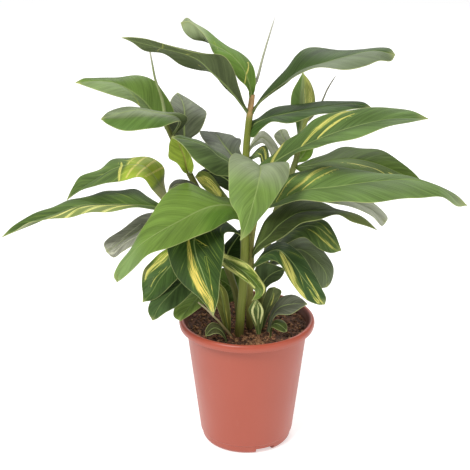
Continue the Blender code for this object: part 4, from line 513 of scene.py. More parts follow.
# What single leaves have of their own
LOOKS = {
    "leaf_left_grey": {"stroke": (0.56, 0.56, 0.44), "halo": (0.24, 0.25, 0.17)},
    "leaf_right_low_grey": {"stroke": (0.26, 0.31, 0.17), "halo": (0.12, 0.15, 0.08)},
    "leaf_right_tip": {"rib": 0.3},
    "leaf_left_long": {"stroke": (0.80, 0.76, 0.27)},
    "leaf_back_striped": {"stroke": (0.92, 0.86, 0.22)},
    "leaf_centre_low_striped": {"stroke": (0.86, 0.84, 0.28)},
    "leaf_basal_striped": {"stroke": (0.82, 0.82, 0.38)},
    "leaf_young_left": {"rib_colour": (0.30, 0.22, 0.07)},
    "leaf_front_centre": {"rib": 0.5, "margin": 0.5},
    "leaf_right_dark": {"shine": 0.06},
    "leaf_top_left": {"under": (0.102, 0.130, 0.055)},
    # Its underside colour is light: painted light for an underside that lies in shade.
    "leaf_upright_right": {"under": (0.520, 0.560, 0.270), "stroke": (0.85, 0.82, 0.25)},
    "leaf_right_high": {"shine": 0.07},
    "leaf_right_arched": {"shine": 0.08},
    "leaf_front_low": {"stroke": (0.70, 0.55, 0.12)},
}

# Yellow strokes of single leaves: the strength, then stops along the rib (0 to 1), across it (-1 to 1)
# and half the width in millimetres
STROKES = {
    "leaf_top": (
        (1.0, (0.31, 0.7, 0.5), (0.27, 0.15, 1.3), (0.21, -0.8, 0.8)),
        (0.8, (0.63, 0.2, 0.8), (0.6, -0.4, 0.8))),
    "leaf_top_left": (
        (0.9, (0.76, -0.6, 0.8), (0.73, 0.8, 0.8)), (0.9, (0.66, 0.35, 0.7), (0.58, -0.15, 0.7)),
        (0.8, (0.50, 0.5, 0.5), (0.36, 0.7, 0.8))),
    "leaf_left_high": (
        (0.9, (0.98, -0.8, 1.8), (0.95, -0.9, 1.8)), (0.6, (0.50, -0.2, 0.6), (0.36, -0.9, 1.4))),
    "leaf_right_striped": (
        (1.05, (0.39, 0.0, 0.8), (0.47, -0.35, 3.0), (0.54, -0.6, 3.8), (0.60, -0.85, 3.0),
         (0.64, -0.9, 0.8)),
        (1.25, (0.49, -0.05, 0.8), (0.57, -0.35, 1.8), (0.66, -0.65, 0.8)),
        (1.0, (0.19, 0.3, 2.4), (0.23, -0.5, 4.4), (0.28, -0.95, 3.0))),
    "leaf_right_arched": (
        (1.1, (0.38, 0.55, 0.5), (0.50, 0.65, 0.9), (0.59, 0.75, 1.3), (0.66, 0.9, 0.7)),
        (1.1, (0.70, 0.7, 1.2), (0.80, 0.6, 0.7))),
    "leaf_right_front": (
        (1.1, (0.26, -0.1, 0.8), (0.33, -0.3, 3.4), (0.38, -0.7, 4.0), (0.44, -0.95, 1.2)),
        (1.25, (0.34, -0.05, 0.8), (0.42, -0.5, 1.6), (0.47, -0.8, 0.8)),
        (1.2, (0.19, -0.1, 0.7), (0.25, -0.5, 1.2), (0.30, -0.8, 0.8))),
    "leaf_left_long": (
        (0.95, (0.22, -0.65, 0.8), (0.31, -0.65, 3.0), (0.42, -1.0, 1.6)),
        (0.95, (0.31, -0.45, 0.8), (0.40, -0.45, 3.2), (0.51, -1.0, 2.0)),
        (0.95, (0.42, -0.35, 0.8), (0.51, -0.5, 3.2), (0.60, -1.0, 2.0)),
        (0.95, (0.51, -0.25, 0.8), (0.59, -0.5, 2.6), (0.69, -1.0, 1.6)),
        (0.8, (0.80, -0.9, 1.4), (0.95, -0.6, 1.4))),
    "leaf_left_striped": (
        (1.2, (0.54, 0.3, 1.0), (0.52, -0.3, 2.4), (0.50, -0.9, 1.8)),
        (1.0, (0.40, 0.8, 2.4), (0.45, -0.85, 1.6)),
        (1.0, (0.34, 0.9, 2.0), (0.38, -0.9, 1.4)), (1.0, (0.28, 0.9, 1.8), (0.33, -0.8, 1.2)),
        (1.0, (0.46, 0.8, 2.2), (0.49, 0.0, 1.2))),
    "leaf_front_low": (
        (1.0, (0.48, 0.2, 0.5), (0.60, 0.2, 3.0), (0.72, 0.28, 6.0), (0.84, 0.3, 6.2), (0.97, 0.0, 2.0)),
        (0.6, (0.60, -0.40, 0.4), (0.72, -0.43, 0.7), (0.86, -0.42, 0.5)),
        (0.9, (0.50, 0.0, 0.5), (0.53, -0.4, 0.7))),
    "leaf_left_low_yellow": (
        (0.95, (0.36, 0.6, 2.0), (0.46, 0.6, 6.0), (0.60, 0.65, 4.0), (0.75, 0.75, 1.0)),
        (0.8, (0.52, 0.1, 0.5), (0.80, 0.25, 0.8))),
    "leaf_right_hanging": (
        (1.0, (0.46, 0.1, 0.8), (0.55, 0.5, 4.0), (0.65, 0.75, 5.4), (0.75, 0.9, 4.4), (0.84, 1.0, 1.0)),
        (0.9, (0.72, -0.3, 0.6), (0.87, -0.1, 1.8), (0.98, 0.4, 1.2)),
        (0.8, (0.82, 0.25, 0.8), (0.93, 0.65, 2.0))),
    "leaf_centre_low_striped": (
        (1.0, (0.25, -0.5, 1.6), (0.49, -0.6, 3.6), (0.61, -0.75, 3.8), (0.74, -0.7, 3.0),
         (0.90, -0.6, 1.0)),
        (1.0, (0.35, 0.5, 1.2), (0.56, 0.8, 3.4), (0.80, 0.8, 1.8))),
    "leaf_right_low_striped": (
        (0.95, (0.68, 0.35, 0.5), (0.83, 0.45, 1.6), (0.96, 0.7, 0.8)),
        (0.9, (0.75, -0.05, 0.5), (0.87, 0.05, 1.4), (0.98, 0.2, 0.8)),
        (0.8, (0.62, -0.5, 0.5), (0.85, -0.4, 1.4))),
    "leaf_right_low_grey": (
        (0.7, (0.5, -0.5, 0.6), (0.78, -0.4, 1.4)), (0.6, (0.45, 0.5, 0.6), (0.8, 0.55, 1.4))),
    "leaf_back_striped": ((1.15, (0.97, -0.3, 2.0), (0.84, 0.1, 6.5), (0.6, 0.1, 5.5)),),
    "leaf_upright_right": (
        (0.95, (0.93, -0.8, 1.0), (0.76, -0.8, 3.4), (0.60, -0.65, 3.2)),
        (0.9, (0.8, -0.15, 0.7), (0.58, -0.2, 0.7))),
    "leaf_basal_striped": (
        (1.1, (0.95, -0.4, 0.8), (0.78, -0.6, 1.6), (0.45, -0.4, 0.8)),
        (1.1, (0.92, 0.7, 0.8), (0.77, 0.8, 1.4), (0.50, 0.5, 0.8)),
        (1.1, (0.93, 0.15, 0.6), (0.6, 0.1, 0.8))),
    "leaf_basal_dark": ((0.9, (0.88, 0.15, 0.7), (0.66, 0.4, 1.3)),),
    "leaf_basal_sheath": ((0.7, (0.3, 0.3, 0.8), (0.9, 0.3, 1.4)),),
    "leaf_small_variegated": (
        (1.0, (0.45, -0.4, 1.2), (0.65, -0.3, 1.8), (0.91, -0.1, 1.0)),
        (0.9, (0.5, 0.6, 0.8), (0.82, 0.6, 1.0))),
    "leaf_left_rim": ((0.8, (0.85, 0.75, 0.8), (0.5, 0.7, 1.4)),),
    "leaf_left_grey": (
        (0.85, (0.45, -0.5, 1.0), (0.9, -0.5, 5.0)), (0.8, (0.5, 0.3, 0.8), (0.9, 0.1, 3.0))),
    "leaf_centre_left": ((0.8, (0.08, 0.7, 0.8), (0.22, -0.3, 1.4)),),
}

# Strokes go into two sets by turns, so that two that lie close don't mix
STROKE_SETS = ("stroke_even", "stroke_odd")
STROKE_STEPS = 40

# In half widths of a stroke: how far off a point without one counts, and how far its strength reaches,
# which then fades within so many steps of the mesh
STROKE_FAR = 5.0
STROKE_REACH = 1.3
STROKE_FADE = (1.1, 1.5)

# The yellow lines in a stroke: their gap in millimetres and their length
STROKE_LINE_GAP = 1.25
STROKE_LINE_LENGTH = 0.03

# Colours that the areas below share
# The first colour is a pale grey-green: painted sheen on leaf_left_canoe's upper half, and a pale tip on
# leaf_right_front.
PALE_TIP_AND_SHEEN = (0.27, 0.32, 0.19)
DARK_OLIVE = (0.035, 0.045, 0.016)
LIME = (0.34, 0.44, 0.045)
FRESH = (0.085, 0.180, 0.022)

# Areas of single leaves in another colour: along the rib from and to, across from and to, the colour
# and its strength
PATCHES = {
    # Pale grey-green on the tip's flap: its own paler underside, made lighter still as painted light
    # against the flap's shadow.
    "leaf_top": ((0.70, 1.1, -1.2, 1.2, (0.40, 0.47, 0.26), 0.9),),
    "leaf_left_high": ((0.22, 1.1, -1.2, -0.05, (0.21, 0.28, 0.12), 0.75),),
    "leaf_left_canoe": (
        # The pale area on the upper half is painted sheen.
        (0.4, 0.95, -0.3, 1.2, PALE_TIP_AND_SHEEN, 0.6), (-0.1, 0.24, -1.2, 1.2, DARK_OLIVE, 0.8),
        (0.4, 1.1, -1.2, -0.45, FRESH, 0.6)),
    "leaf_left_back": ((-0.1, 0.4, -1.2, 1.2, DARK_OLIVE, 0.5),),
    "leaf_top_right": ((0.3, 1.1, 0.05, 1.2, (0.18, 0.215, 0.125), 0.6),),
    "leaf_upright_right": (
        # The yellow area is its own variegation, lightened as painted light against the shade it lies in.
        (0.2, 1.1, -1.2, -0.2, (0.46, 0.50, 0.11), 0.8), (0.2, 1.1, 0.2, 1.2, FRESH, 0.8)),
    "leaf_right_tip": ((0.5, 1.1, -1.2, 1.2, (0.56, 0.58, 0.45), 0.85),),
    "leaf_left_low_yellow": (
        (0.2, 0.50, 0.50, 1.2, LIME, 0.7), (0.60, 0.74, 0.72, 1.2, (0.200, 0.190, 0.070), 0.6)),
    # A grey area on the crest of the arch: painted sheen.
    "leaf_front_centre": ((0.30, 0.67, -1.2, 1.2, (0.235, 0.265, 0.165), 0.75),),
    "leaf_front_left": (
        (0.1, 0.40, -1.2, -0.25, FRESH, 0.7), (0.78, 1.1, -1.2, 1.2, (0.200, 0.285, 0.125), 0.5)),
    "leaf_left_striped": (
        # The tan-olive area at the foot is its own colour lightened as painted light, against the shade on
        # that wedge.
        (0.24, 0.49, -1.2, 1.2, LIME, 1.0), (-0.1, 0.22, -1.2, 1.2, (0.40, 0.40, 0.17), 0.85)),
    "leaf_left_long": (
        (0.8, 1.1, -1.2, 0, (0.42, 0.45, 0.24), 0.7), (0.26, 0.70, -1.2, -0.5, (0.36, 0.42, 0.13), 0.45)),
    "leaf_right_dark": ((0.8, 1.1, -1.2, 1.2, (0.26, 0.30, 0.10), 0.7),),
    "leaf_right_front": (
        (0.9, 1.1, -1.2, 1.2, PALE_TIP_AND_SHEEN, 0.7), (0.4, 0.85, 0.1, 1.2, (0.125, 0.200, 0.050), 0.5)),
}

# How soft the areas' borders are, along and across a leaf; along a creased leaf they are harder
SOFT_BORDER = 0.07
SOFT_SIDE_BORDER = 0.18
CREASED_BORDER = 0.02
CREASED = ("leaf_left_striped",)

# Stems: the tones at the soil, above it and at the top, then of the fibres and blotches on all of them
CANE_TONES = {
    "cane_main": ((0.085, 0.065, 0.016), (0.19, 0.225, 0.036), (0.60, 0.34, 0.17)),
    "cane_left": ((0.14, 0.085, 0.04), (0.13, 0.14, 0.035), (0.17, 0.20, 0.05)),
    "cane_low_left": ((0.17, 0.12, 0.05), (0.20, 0.23, 0.07), (0.30, 0.32, 0.11)),
    "cane_right": ((0.12, 0.09, 0.03), (0.34, 0.33, 0.09), (0.40, 0.38, 0.12)),
    "cane_far_right": ((0.17, 0.12, 0.05), (0.18, 0.21, 0.07), (0.30, 0.32, 0.11)),
}
SPEAR_TONES = {
    "spear_top": ((0.34, 0.36, 0.24), (0.40, 0.41, 0.31), (0.48, 0.48, 0.42)),
    "spear_left": ((0.20, 0.28, 0.09), (0.26, 0.32, 0.14), (0.44, 0.44, 0.36)),
    "spear_right": ((0.20, 0.24, 0.12), (0.24, 0.25, 0.17), (0.30, 0.28, 0.23)),
}
STALK_TONES = ((0.20, 0.14, 0.07), (0.36, 0.29, 0.14), (0.50, 0.44, 0.26))
FIBRE_COLOUR = (0.34, 0.33, 0.085)
BLOTCH_COLOUR = (0.12, 0.11, 0.025)

# Where the tones pass over: heights at the soil, depths under the top
SOIL_TONE_END = (0.17, 0.20)
TOP_TONE_START = (0.036, 0.014)

# The pot's colours
POT_DARK = (0.350, 0.069, 0.038)
POT_LIGHT = (0.395, 0.083, 0.048)
POT_SCUFF = (0.46, 0.16, 0.11)
POT_RIM = (0.42, 0.066, 0.028)
POT_FOOT = (0.25, 0.07, 0.045)
# Painted shadow: a dark band on the wall just under the lip, where the lip shades it
POT_LIP_SHADOW = (0.10, 0.02, 0.012)
# Painted shade: the inner wall under the rim darkened, unevenly, where soil and leaves shade it
POT_INNER_SHADE = (0.105, 0.036, 0.020)

# The soil and its bits: dark and light colour and how fine the grain is
SOIL_LOOK = ((0.036, 0.015, 0.008), (0.240, 0.098, 0.048), 230.0)
SOIL_FIBRE_LOOK = ((0.10, 0.055, 0.03), (0.34, 0.22, 0.13), 300.0)
CRUMB_GRAIN = 420.0
SOIL_SPECK = (0.24, 0.13, 0.075)
# Painted shade: near black in the hollows of the soil's fine grain
SOIL_HOLLOW_SHADE = (0.012, 0.007, 0.005)


def unit(vectors):
    """Vectors of length one, along the last axis."""
    return vectors / np.maximum(np.linalg.norm(vectors, axis=-1, keepdims=True), 1e-9)


def run_length(path):
    """How far along a path each of its points lies."""
    return np.concatenate([[0.0], np.cumsum(np.linalg.norm(np.diff(path, axis=0), axis=1))])


def smooth_line(points, count):
    """Evenly spaced places on a smooth curve through the given points."""
    points = np.array(points, float)
    gaps = np.sqrt(np.linalg.norm(np.diff(points, axis=0), axis=1))
    slopes = np.diff(points, axis=0) / gaps[:, None]
    tangents = np.concatenate([slopes[:1], slopes])
    for i in range(1, len(points) - 1):
        weight = gaps[i] / (gaps[i - 1] + gaps[i])
        tangents[i] = weight * slopes[i - 1] + (1 - weight) * slopes[i]
    s = np.linspace(0, 1, SPAN_STEPS + 1)[:-1, None]
    fine = []
    for i, span in enumerate(gaps):
        fine.append((2 * s**3 - 3 * s**2 + 1) * points[i] + (3 * s**2 - 2 * s**3) * points[i + 1]
                    + (s**3 - 2 * s**2 + s) * span * tangents[i] + (s**3 - s**2) * span * tangents[i + 1])
    fine = np.vstack(fine + [points[-1:]])
    run = run_length(fine)
    at = np.linspace(0, run[-1], count)
    return np.stack([np.interp(at, run, fine[:, axis]) for axis in range(3)], axis=1)


def eased(value, low, high):
    """Rises smoothly from 0 at low to 1 at high."""
    t = np.clip((value - low) / (high - low), 0, 1)
    return t * t * (3 - 2 * t)


def polar(radius, angle):
    """A place in the floor's plane."""
    return radius * math.cos(angle), radius * math.sin(angle)


def places(points):
    """Table entries in centimetres as places in metres."""
    return np.array(points, float) * CM + (PLANT_SHIFT, 0, PLANT_DATUM)


def rooted(points):
    """The way of a stem, led on straight down into the soil."""
    way = places(points)
    foot = way[0] - (0, 0, ROOT_DEPTH)
    return np.vstack([foot, (foot + way[0]) / 2, way])


class Skin:
    """A material built node by node: a call adds a node and gives its result."""

    def __init__(self, name):
        self.made = bpy.data.materials.new(name)
        self.made.use_nodes = True
        self.tree = self.made.node_tree
        self.shader = self.tree.nodes["Principled BSDF"]

    def put(self, socket, value):
        """Links a result to a socket, or sets the socket to a number or a colour."""
        if isinstance(value, bpy.types.NodeSocket):
            self.tree.links.new(value, socket)
        else:
            socket.default_value = (*value, 1.0) if socket.type == "RGBA" else value

    def node(self, kind, inputs=None, **settings):
        """The outputs of a new node with its settings and inputs in place."""
        made = self.tree.nodes.new("ShaderNode" + kind)
        for key, value in settings.items():
            setattr(made, key, value)
        for key, value in (inputs or {}).items():
            self.put(made.inputs[key], value)
        return made.outputs

    def maths(self, operation, *values):
        """The result of an operation on numbers or other results."""
        return self.node("Math", dict(enumerate(values)), operation=operation)[0]

    def times(self, first, second):
        """A product."""
        return self.maths("MULTIPLY", first, second)

    def plus(self, first, second):
        """A sum."""
        return self.maths("ADD", first, second)

    def minus(self, first, second):
        """A difference."""
        return self.maths("SUBTRACT", first, second)

    def scaled(self, value, factor, offset):
        """A value times a factor, with something added."""
        return self.maths("MULTIPLY_ADD", value, factor, offset)

    def ramp(self, value, low, high, start=0.0, end=1.0):
        """A smooth step of a value between two limits."""
        return self.node("MapRange", {0: value, 1: low, 2: high, 3: start, 4: end},
                         interpolation_type="SMOOTHSTEP")[0]

    def mix(self, part, first, second, blend="MIX"):
        """A mix of two colours."""
        return self.node("Mix", {0: part, 6: first, 7: second}, data_type="RGBA", blend_type=blend)[2]

    def grain(self, vector, scale, detail=2.0, roughness=0.5):
        """A noise value."""
        return self.node("TexNoise", {"Vector": vector, "Scale": scale, "Detail": detail,
                                      "Roughness": roughness})[0]

    def vector(self, x, y, z=0.0):
        """Three values as one vector."""
        return self.node("CombineXYZ", {0: x, 1: y, 2: z})[0]

    def split(self, vector):
        """The three values of a vector."""
        return self.node("SeparateXYZ", {0: vector})

    def uv(self):
        """Both numbers of the mesh's own UV map."""
        return self.split(self.node("UVMap", uv_map="UVMap")[0])[:2]

    def place(self):
        """The place on the object."""
        return self.node("TexCoord")["Object"]

    def points(self, title):
        """A set of values that the mesh carries on its points."""
        return self.node("Attribute", attribute_name=title)["Vector"]

    def finish(self, colour, roughness, height, strength, distance, shine=0.5):
        """The material with its colour, roughness, shine and fine relief set."""
        self.put(self.shader.inputs["Base Color"], colour)
        self.put(self.shader.inputs["Roughness"], roughness)
        self.put(self.shader.inputs["Specular IOR Level"], shine)
        relief = self.node("Bump", {"Height": height, "Strength": strength, "Distance": distance})[0]
        self.put(self.shader.inputs["Normal"], relief)
        return self.made


def piece(name, verts, faces, skin, replaced=None, slot=None, uvs=None, points=None, angle=50):
    """A finished mesh that rides on the model and may stand for a solid."""
    mesh = bpy.data.meshes.new(name)
    mesh.from_pydata(np.asarray(verts, float).tolist(), [], faces)
    mesh.update()
    mesh.materials.append(skin)
    mesh.shade_smooth()
    mesh.set_sharp_from_angle(angle=math.radians(angle))
    if uvs is not None:
        index = np.empty(len(mesh.loops), int)
        mesh.loops.foreach_get("vertex_index", index)
        mesh.uv_layers.new(name="UVMap").data.foreach_set("uv", np.asarray(uvs, float)[index].ravel())
    for title, values in (points or {}).items():
        kept = mesh.attributes.new(title, "FLOAT_VECTOR", "POINT")
        kept.data.foreach_set("vector", np.asarray(values, float).ravel())
    made = bpy.data.objects.new(name, mesh)
    bpy.context.scene.collection.objects.link(made)
    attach(made, "root")
    if replaced:
        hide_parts(replaced)
    return made


# Leaves


def margin_arms(middle, left, right):
    """Arms, row by row, from the rib out to the left and the right margin."""
    rows = len(middle)
    along = unit(np.gradient(middle, axis=0))
    least = np.linspace(PETIOLE_HALF_WIDTH, TIP_HALF_WIDTH, rows)[:, None]
    arms = [smooth_line(line, rows) - middle for line in (left, right)]
    reach = [np.linalg.norm(arm, axis=1, keepdims=True) for arm in arms]
    across = unit(arms[1] - arms[0])
    wide = np.nonzero(((reach[0] > least) & (reach[1] > least))[:, 0])[0]
    across[:wide[0]] = across[wide[0]]
    across[wide[-1] + 1:] = across[wide[-1]]
    across = unit(across - along * (across * along).sum(axis=1, keepdims=True))
    inside = (np.arange(rows) >= wide[0]) & (np.arange(rows) <= wide[-1])
    arms = [np.where((size > least) & inside[:, None], arm, side * across * np.maximum(least, size))
            for arm, size, side in zip(arms, reach, (-1, 1))]
    return arms, unit(np.cross(across, along))


def stroke_parts(skin, title, drift, seed):
    """How much of a stroke's yellow lines and of the lighter green round them shows."""
    scaled, strength, reach = skin.split(skin.points(title))
    lines = skin.grain(skin.vector(skin.maths("DIVIDE", reach, STROKE_LINE_GAP), drift, seed), 1.0, 1.0)
    wander = skin.grain(skin.vector(drift, skin.maths("SIGN", scaled), seed), 1.0, 2.0)
    off = skin.scaled(skin.minus(wander, 0.5), 0.9, skin.maths("ABSOLUTE", scaled))
    inside = skin.times(skin.ramp(off, 0.85, 1.25, 1.0, 0.0), skin.ramp(strength, 0.05, 0.3))
    limit = skin.scaled(strength, -0.42, 0.86)
    limit = skin.scaled(skin.times(off, off), 0.08, limit)
    yellow = skin.ramp(skin.minus(lines, limit), -0.05, 0.06)
    halo = skin.times(skin.ramp(off, 0.8, 1.5, 1.0, 0.0), skin.ramp(strength, 0.05, 0.4))
    return skin.times(inside, yellow), halo


def leaf_ground(skin, tone, shade, bias, weight, layers):
    """A leaf's green from dark to light, its areas and its streaks."""
    lights = [skin.ramp(layer, *GRAIN_RANGE, 0.0, share) for layer, share in zip(layers, LIGHT_SHARES)]
    lightness = skin.plus(skin.plus(lights[0], lights[1]), lights[2])
    shade = np.array(shade)
    colour = skin.mix(lightness, shade * (1 - SPREAD[tone]), shade * (1 + SPREAD[tone]))
    lift = skin.scaled(lightness, 0.5, 0.75)
    area = skin.mix(1.0, skin.points("tint"), skin.vector(lift, lift, lift), "MULTIPLY")
    colour = skin.mix(weight, colour, area)
    signs = [skin.times(value, share) for value, share in zip((*layers[:2], bias), STREAK_SHARES)]
    streak = skin.plus(skin.plus(signs[0], signs[1]), signs[2])
    colour = skin.mix(skin.ramp(streak, *STREAK_GREEN, 0.0, 0.65), colour, YELLOW_GREEN)
    return skin.mix(skin.ramp(streak, *STREAK_YELLOW), colour, YELLOW)


def leaf_edges(skin, colour, look, clouds):
    """The colour with a pale rib, margin and tip."""
    rib_gap, edge_gap, u = skin.split(skin.points("reach"))
    rib = skin.minus(rib_gap, skin.scaled(u, RIB_TAPER, RIB_HALF_WIDTH))
    colour = skin.mix(skin.ramp(rib, *RIB_SIDE, look["rib"], 0.0), colour, look["rib_colour"])
    margin = skin.ramp(edge_gap, *MARGIN_WIDTH, look["margin"], 0.0)
    margin = skin.times(margin, skin.ramp(clouds, 0.30, 0.60, 0.35, 1.0))
    colour = skin.mix(margin, colour, MARGIN)
    return skin.mix(skin.ramp(u, TIP_START, 1.0, 0.0, 0.5), colour, MARGIN)


def leaf_skin(name, tone, shade, length, seed):
    """The surface of one leaf: veins, areas, streaks, strokes, pale rib and margin, greyer underside with
    painted shade.
    """
    look = {**COMMON_LOOK, **LOOKS.get(name, {})}
    skin = Skin(name + "_skin")
    uv_along, uv_across = skin.uv()
    bias, below, weight = skin.split(skin.points("paint"))
    along = skin.times(uv_along, length * (1 + UV_OVERHANG))
    broad, veins, fine, clouds = (
        skin.grain(skin.vector(skin.maths("DIVIDE", along, spacing), skin.times(uv_across, stretch), seed),
                   1.0, detail)
        for spacing, stretch, detail in GRAINS)
    colour = leaf_ground(skin, tone, shade, bias, weight, (broad, veins, clouds))
    stroke_colour = skin.mix(skin.ramp(fine, 0.2, 0.5), look["halo"], look["stroke"])
    drift = skin.times(skin.split(skin.points("reach"))[2], length / STROKE_LINE_LENGTH)
    for title in STROKE_SETS:
        yellow, halo = stroke_parts(skin, title, drift, seed)
        colour = skin.mix(skin.times(halo, 0.35), colour, look["halo"])
        colour = skin.mix(yellow, colour, stroke_colour)
    under = skin.times(below, skin.minus(1.0, weight))
    colour = skin.mix(under, colour, skin.mix(0.40, colour, look["under"]))
    colour = leaf_edges(skin, colour, look, clouds)
    rough = skin.scaled(fine, 0.08, skin.scaled(under, 0.14, 0.42))
    height = skin.plus(veins, skin.times(fine, 0.35))
    return skin.finish(colour, rough, height, 0.45, 0.9 * MM, look["shine"])


def on_blade(grid, v, along, across):
    """Places on the blade at places along it (0 to 1) and across it (-1 to 1)."""
    i = np.clip(along * (len(grid) - 1), 0, len(grid) - 1.001)
    j = np.clip(np.interp(across, v, np.arange(len(v))), 0, len(v) - 1.001)
    low_i, low_j = i.astype(int), j.astype(int)
    part_i, part_j = (i - low_i)[:, None], (j - low_j)[:, None]
    near = grid[low_i, low_j] * (1 - part_j) + grid[low_i, low_j + 1] * part_j
    far = grid[low_i + 1, low_j] * (1 - part_j) + grid[low_i + 1, low_j + 1] * part_j
    return near * (1 - part_i) + far * part_i


def stroke_marks(name, v, grid, normal):
    """How each point lies to the nearest stroke of either set.

    The three values are the signed distance in half widths, the strength, and the distance in millimetres.
    """
    marks = np.zeros((len(STROKE_SETS), *grid.shape))
    marks[..., 0] = STROKE_FAR
    step = min(np.median(np.linalg.norm(np.diff(grid, axis=axis), axis=-1)) for axis in (0, 1)) / MM
    for number, (strength, *stops) in enumerate(STROKES.get(name, ())):
        nearest_set = marks[number % len(STROKE_SETS)]
        at_u, at_v, half = (smooth_line(np.array(stops) * (1, 1, 0.1), STROKE_STEPS) / (1, 1, 0.1)).T
        line = on_blade(grid, v, at_u, at_v)
        along = unit(np.gradient(line, axis=0))
        gap = grid[:, :, None] - line
        nearest = (gap**2).sum(-1).argmin(-1)
        gap = np.take_along_axis(gap, nearest[..., None, None], 2)[:, :, 0]
        along = along[nearest]
        half = half[nearest]
        inside = ((nearest > 0) & (nearest < len(line) - 1))[..., None]
        gap = gap - along * (gap * along).sum(-1, keepdims=True) * inside
        side = np.sign((gap * np.cross(normal, along)).sum(-1))
        reach = side * np.linalg.norm(gap, axis=-1) / MM
        scaled = np.clip(reach / half, -STROKE_FAR, STROKE_FAR)
        closer = np.abs(scaled) < np.abs(nearest_set[..., 0])
        fade = (np.abs(reach) - STROKE_REACH * half) / step
        seen = strength * (1 - eased(fade, *STROKE_FADE))
        nearest_set[closer] = np.stack([scaled, seen, reach], -1)[closer]
    return marks


def patches(name, u, v):
    """The colour and the weight of the areas that differ from the rest of the leaf."""
    colour = np.zeros((len(u), len(v), 3))
    weight = np.zeros((len(u), len(v)))
    soft_u = CREASED_BORDER if name in CREASED else SOFT_BORDER
    for u0, u1, v0, v1, shade, strength in PATCHES.get(name, ()):
        along = eased(u, u0 - soft_u, u0 + soft_u) * (1 - eased(u, u1 - soft_u, u1 + soft_u))
        across = (eased(v, v0 - SOFT_SIDE_BORDER, v0 + SOFT_SIDE_BORDER)
                  * (1 - eased(v, v1 - SOFT_SIDE_BORDER, v1 + SOFT_SIDE_BORDER)))
        part = strength * along[:, None] * across[None]
        colour = np.where((part > weight)[..., None], shade, colour)
        weight = np.maximum(weight, part)
    return colour, weight


def blade_faces(rows, columns):
    """Faces of a thin closed blade: the top's points come first, then the underside's."""
    half = rows * columns
    at = np.arange(half).reshape(rows, columns)
    a, b, c, d = at[:-1, :-1], at[:-1, 1:], at[1:, 1:], at[1:, :-1]
    edge = np.concatenate([at[0, :], at[1:, -1], at[-1, -2::-1], at[-2:0:-1, 0]])
    following = np.roll(edge, -1)
    return (np.stack([a, b, c, d], -1).reshape(-1, 4).tolist()
            + (half + np.stack([a, d, c, b], -1).reshape(-1, 4)).tolist()
            + np.stack([edge, half + edge, half + following, following], -1).tolist())


def blade_grid(middle, arms, up, u, v, length, rng):
    """A blade's places by row and column, and how far each lies from rib and margin in millimetres."""
    turns = rng.uniform(*WAVE_COUNT, 2) * length / WAVE_SPAN
    phase = rng.uniform(0, TURN, 2)
    grid = np.empty((len(u), len(v), 3))
    rib_gap = np.empty((len(u), len(v)))
    edge_gap = np.empty((len(u), len(v)))
    for j, across in enumerate(v):
        out = abs(across)
        side = int(across > 0)
        arm = arms[side]
        size = np.linalg.norm(arm, axis=1)
        lift = LEAF_CROWN * 4 * out * (1 - out) * size
        lift -= RIB_GROOVE_DEPTH * np.exp(-(out * size / RIB_GROOVE_WIDTH) ** 2)
        wave = np.sin(TURN * turns[side] * u + phase[side]) * np.sin(math.pi * u) ** 0.7
        lift += WAVE_HEIGHT * size * out**3 * wave
        grid[:, j] = middle + arm * out + up * lift[:, None]
        rib_gap[:, j] = out * size / MM
        edge_gap[:, j] = (1 - out) * size / MM
    return grid, rib_gap, edge_gap


def make_leaf(name, tone, shade, lines, seed):
    """One fine leaf blade with its stalk."""
    rib, left, right = (places(line) for line in lines)
    length = run_length(smooth_line(rib, RIB_STEPS))[-1]
    rows = int(np.clip(length / ROW_SPACING, *ROW_LIMITS))
    v = np.linspace(-1, 1, BLADE_COLUMNS)
    v = v - COLUMN_CROWDING * np.sin(TURN * v) / TURN
    u = np.linspace(0, 1, rows)
    middle = smooth_line(rib, rows)
    arms, up = margin_arms(middle, *(np.vstack([rib[:1], line, rib[-1:]]) for line in (left, right)))
    grid, rib_gap, edge_gap = blade_grid(middle, arms, up, u, v, length, np.random.default_rng(seed))
    normal = unit(np.cross(np.gradient(grid, axis=1), np.gradient(grid, axis=0)))
    depth = STALK_DEPTH * np.exp(-u / STALK_SHARE) + RIB_DEPTH * (1 - u)
    rib_body = depth[:, None] * np.exp(-(rib_gap / RIB_WIDTH_MM) ** 2)
    top = grid + normal * (BLADE_THICKNESS / 2)
    below = grid - normal * (BLADE_THICKNESS / 2 + rib_body)[..., None]
    slanted = u[:, None] - VEIN_SLANT * np.abs(v)[None] * (1 - VEIN_TURN * u[:, None])
    uvs = np.stack([(slanted + UV_OVERHANG) / (1 + UV_OVERHANG),
                    np.broadcast_to((v + 1) / 2, slanted.shape)], -1)
    tint, weight = patches(name, u, v)
    bias = np.full(weight.shape, STREAK_BIAS[tone])
    reach = np.stack([rib_gap, edge_gap, np.broadcast_to(u[:, None], bias.shape)], -1)
    paint = [np.stack([bias, np.full(bias.shape, under), weight], -1) for under in (0.0, 1.0)]
    points = {"paint": paint, "reach": [reach, reach], "tint": [tint, tint]}
    for title, marks in zip(STROKE_SETS, stroke_marks(name, v, grid, normal)):
        points[title] = [marks, marks]
    piece(name + "_blade", np.stack([top, below]).reshape(-1, 3), blade_faces(rows, len(v)),
          leaf_skin(name, tone, shade, length, float(seed)), name, "leaf_" + tone,
          np.stack([uvs, uvs]).reshape(-1, 2), points)


# Canes


def tube_frame(path, sides):
    """Two directions square to the path at each of its points, and the angles of the sides."""
    along = unit(np.gradient(path, axis=0))
    side = unit(np.cross(along, [0.0, 1.0, 0.0]))
    return side, np.cross(side, along), np.arange(sides) * TURN / sides


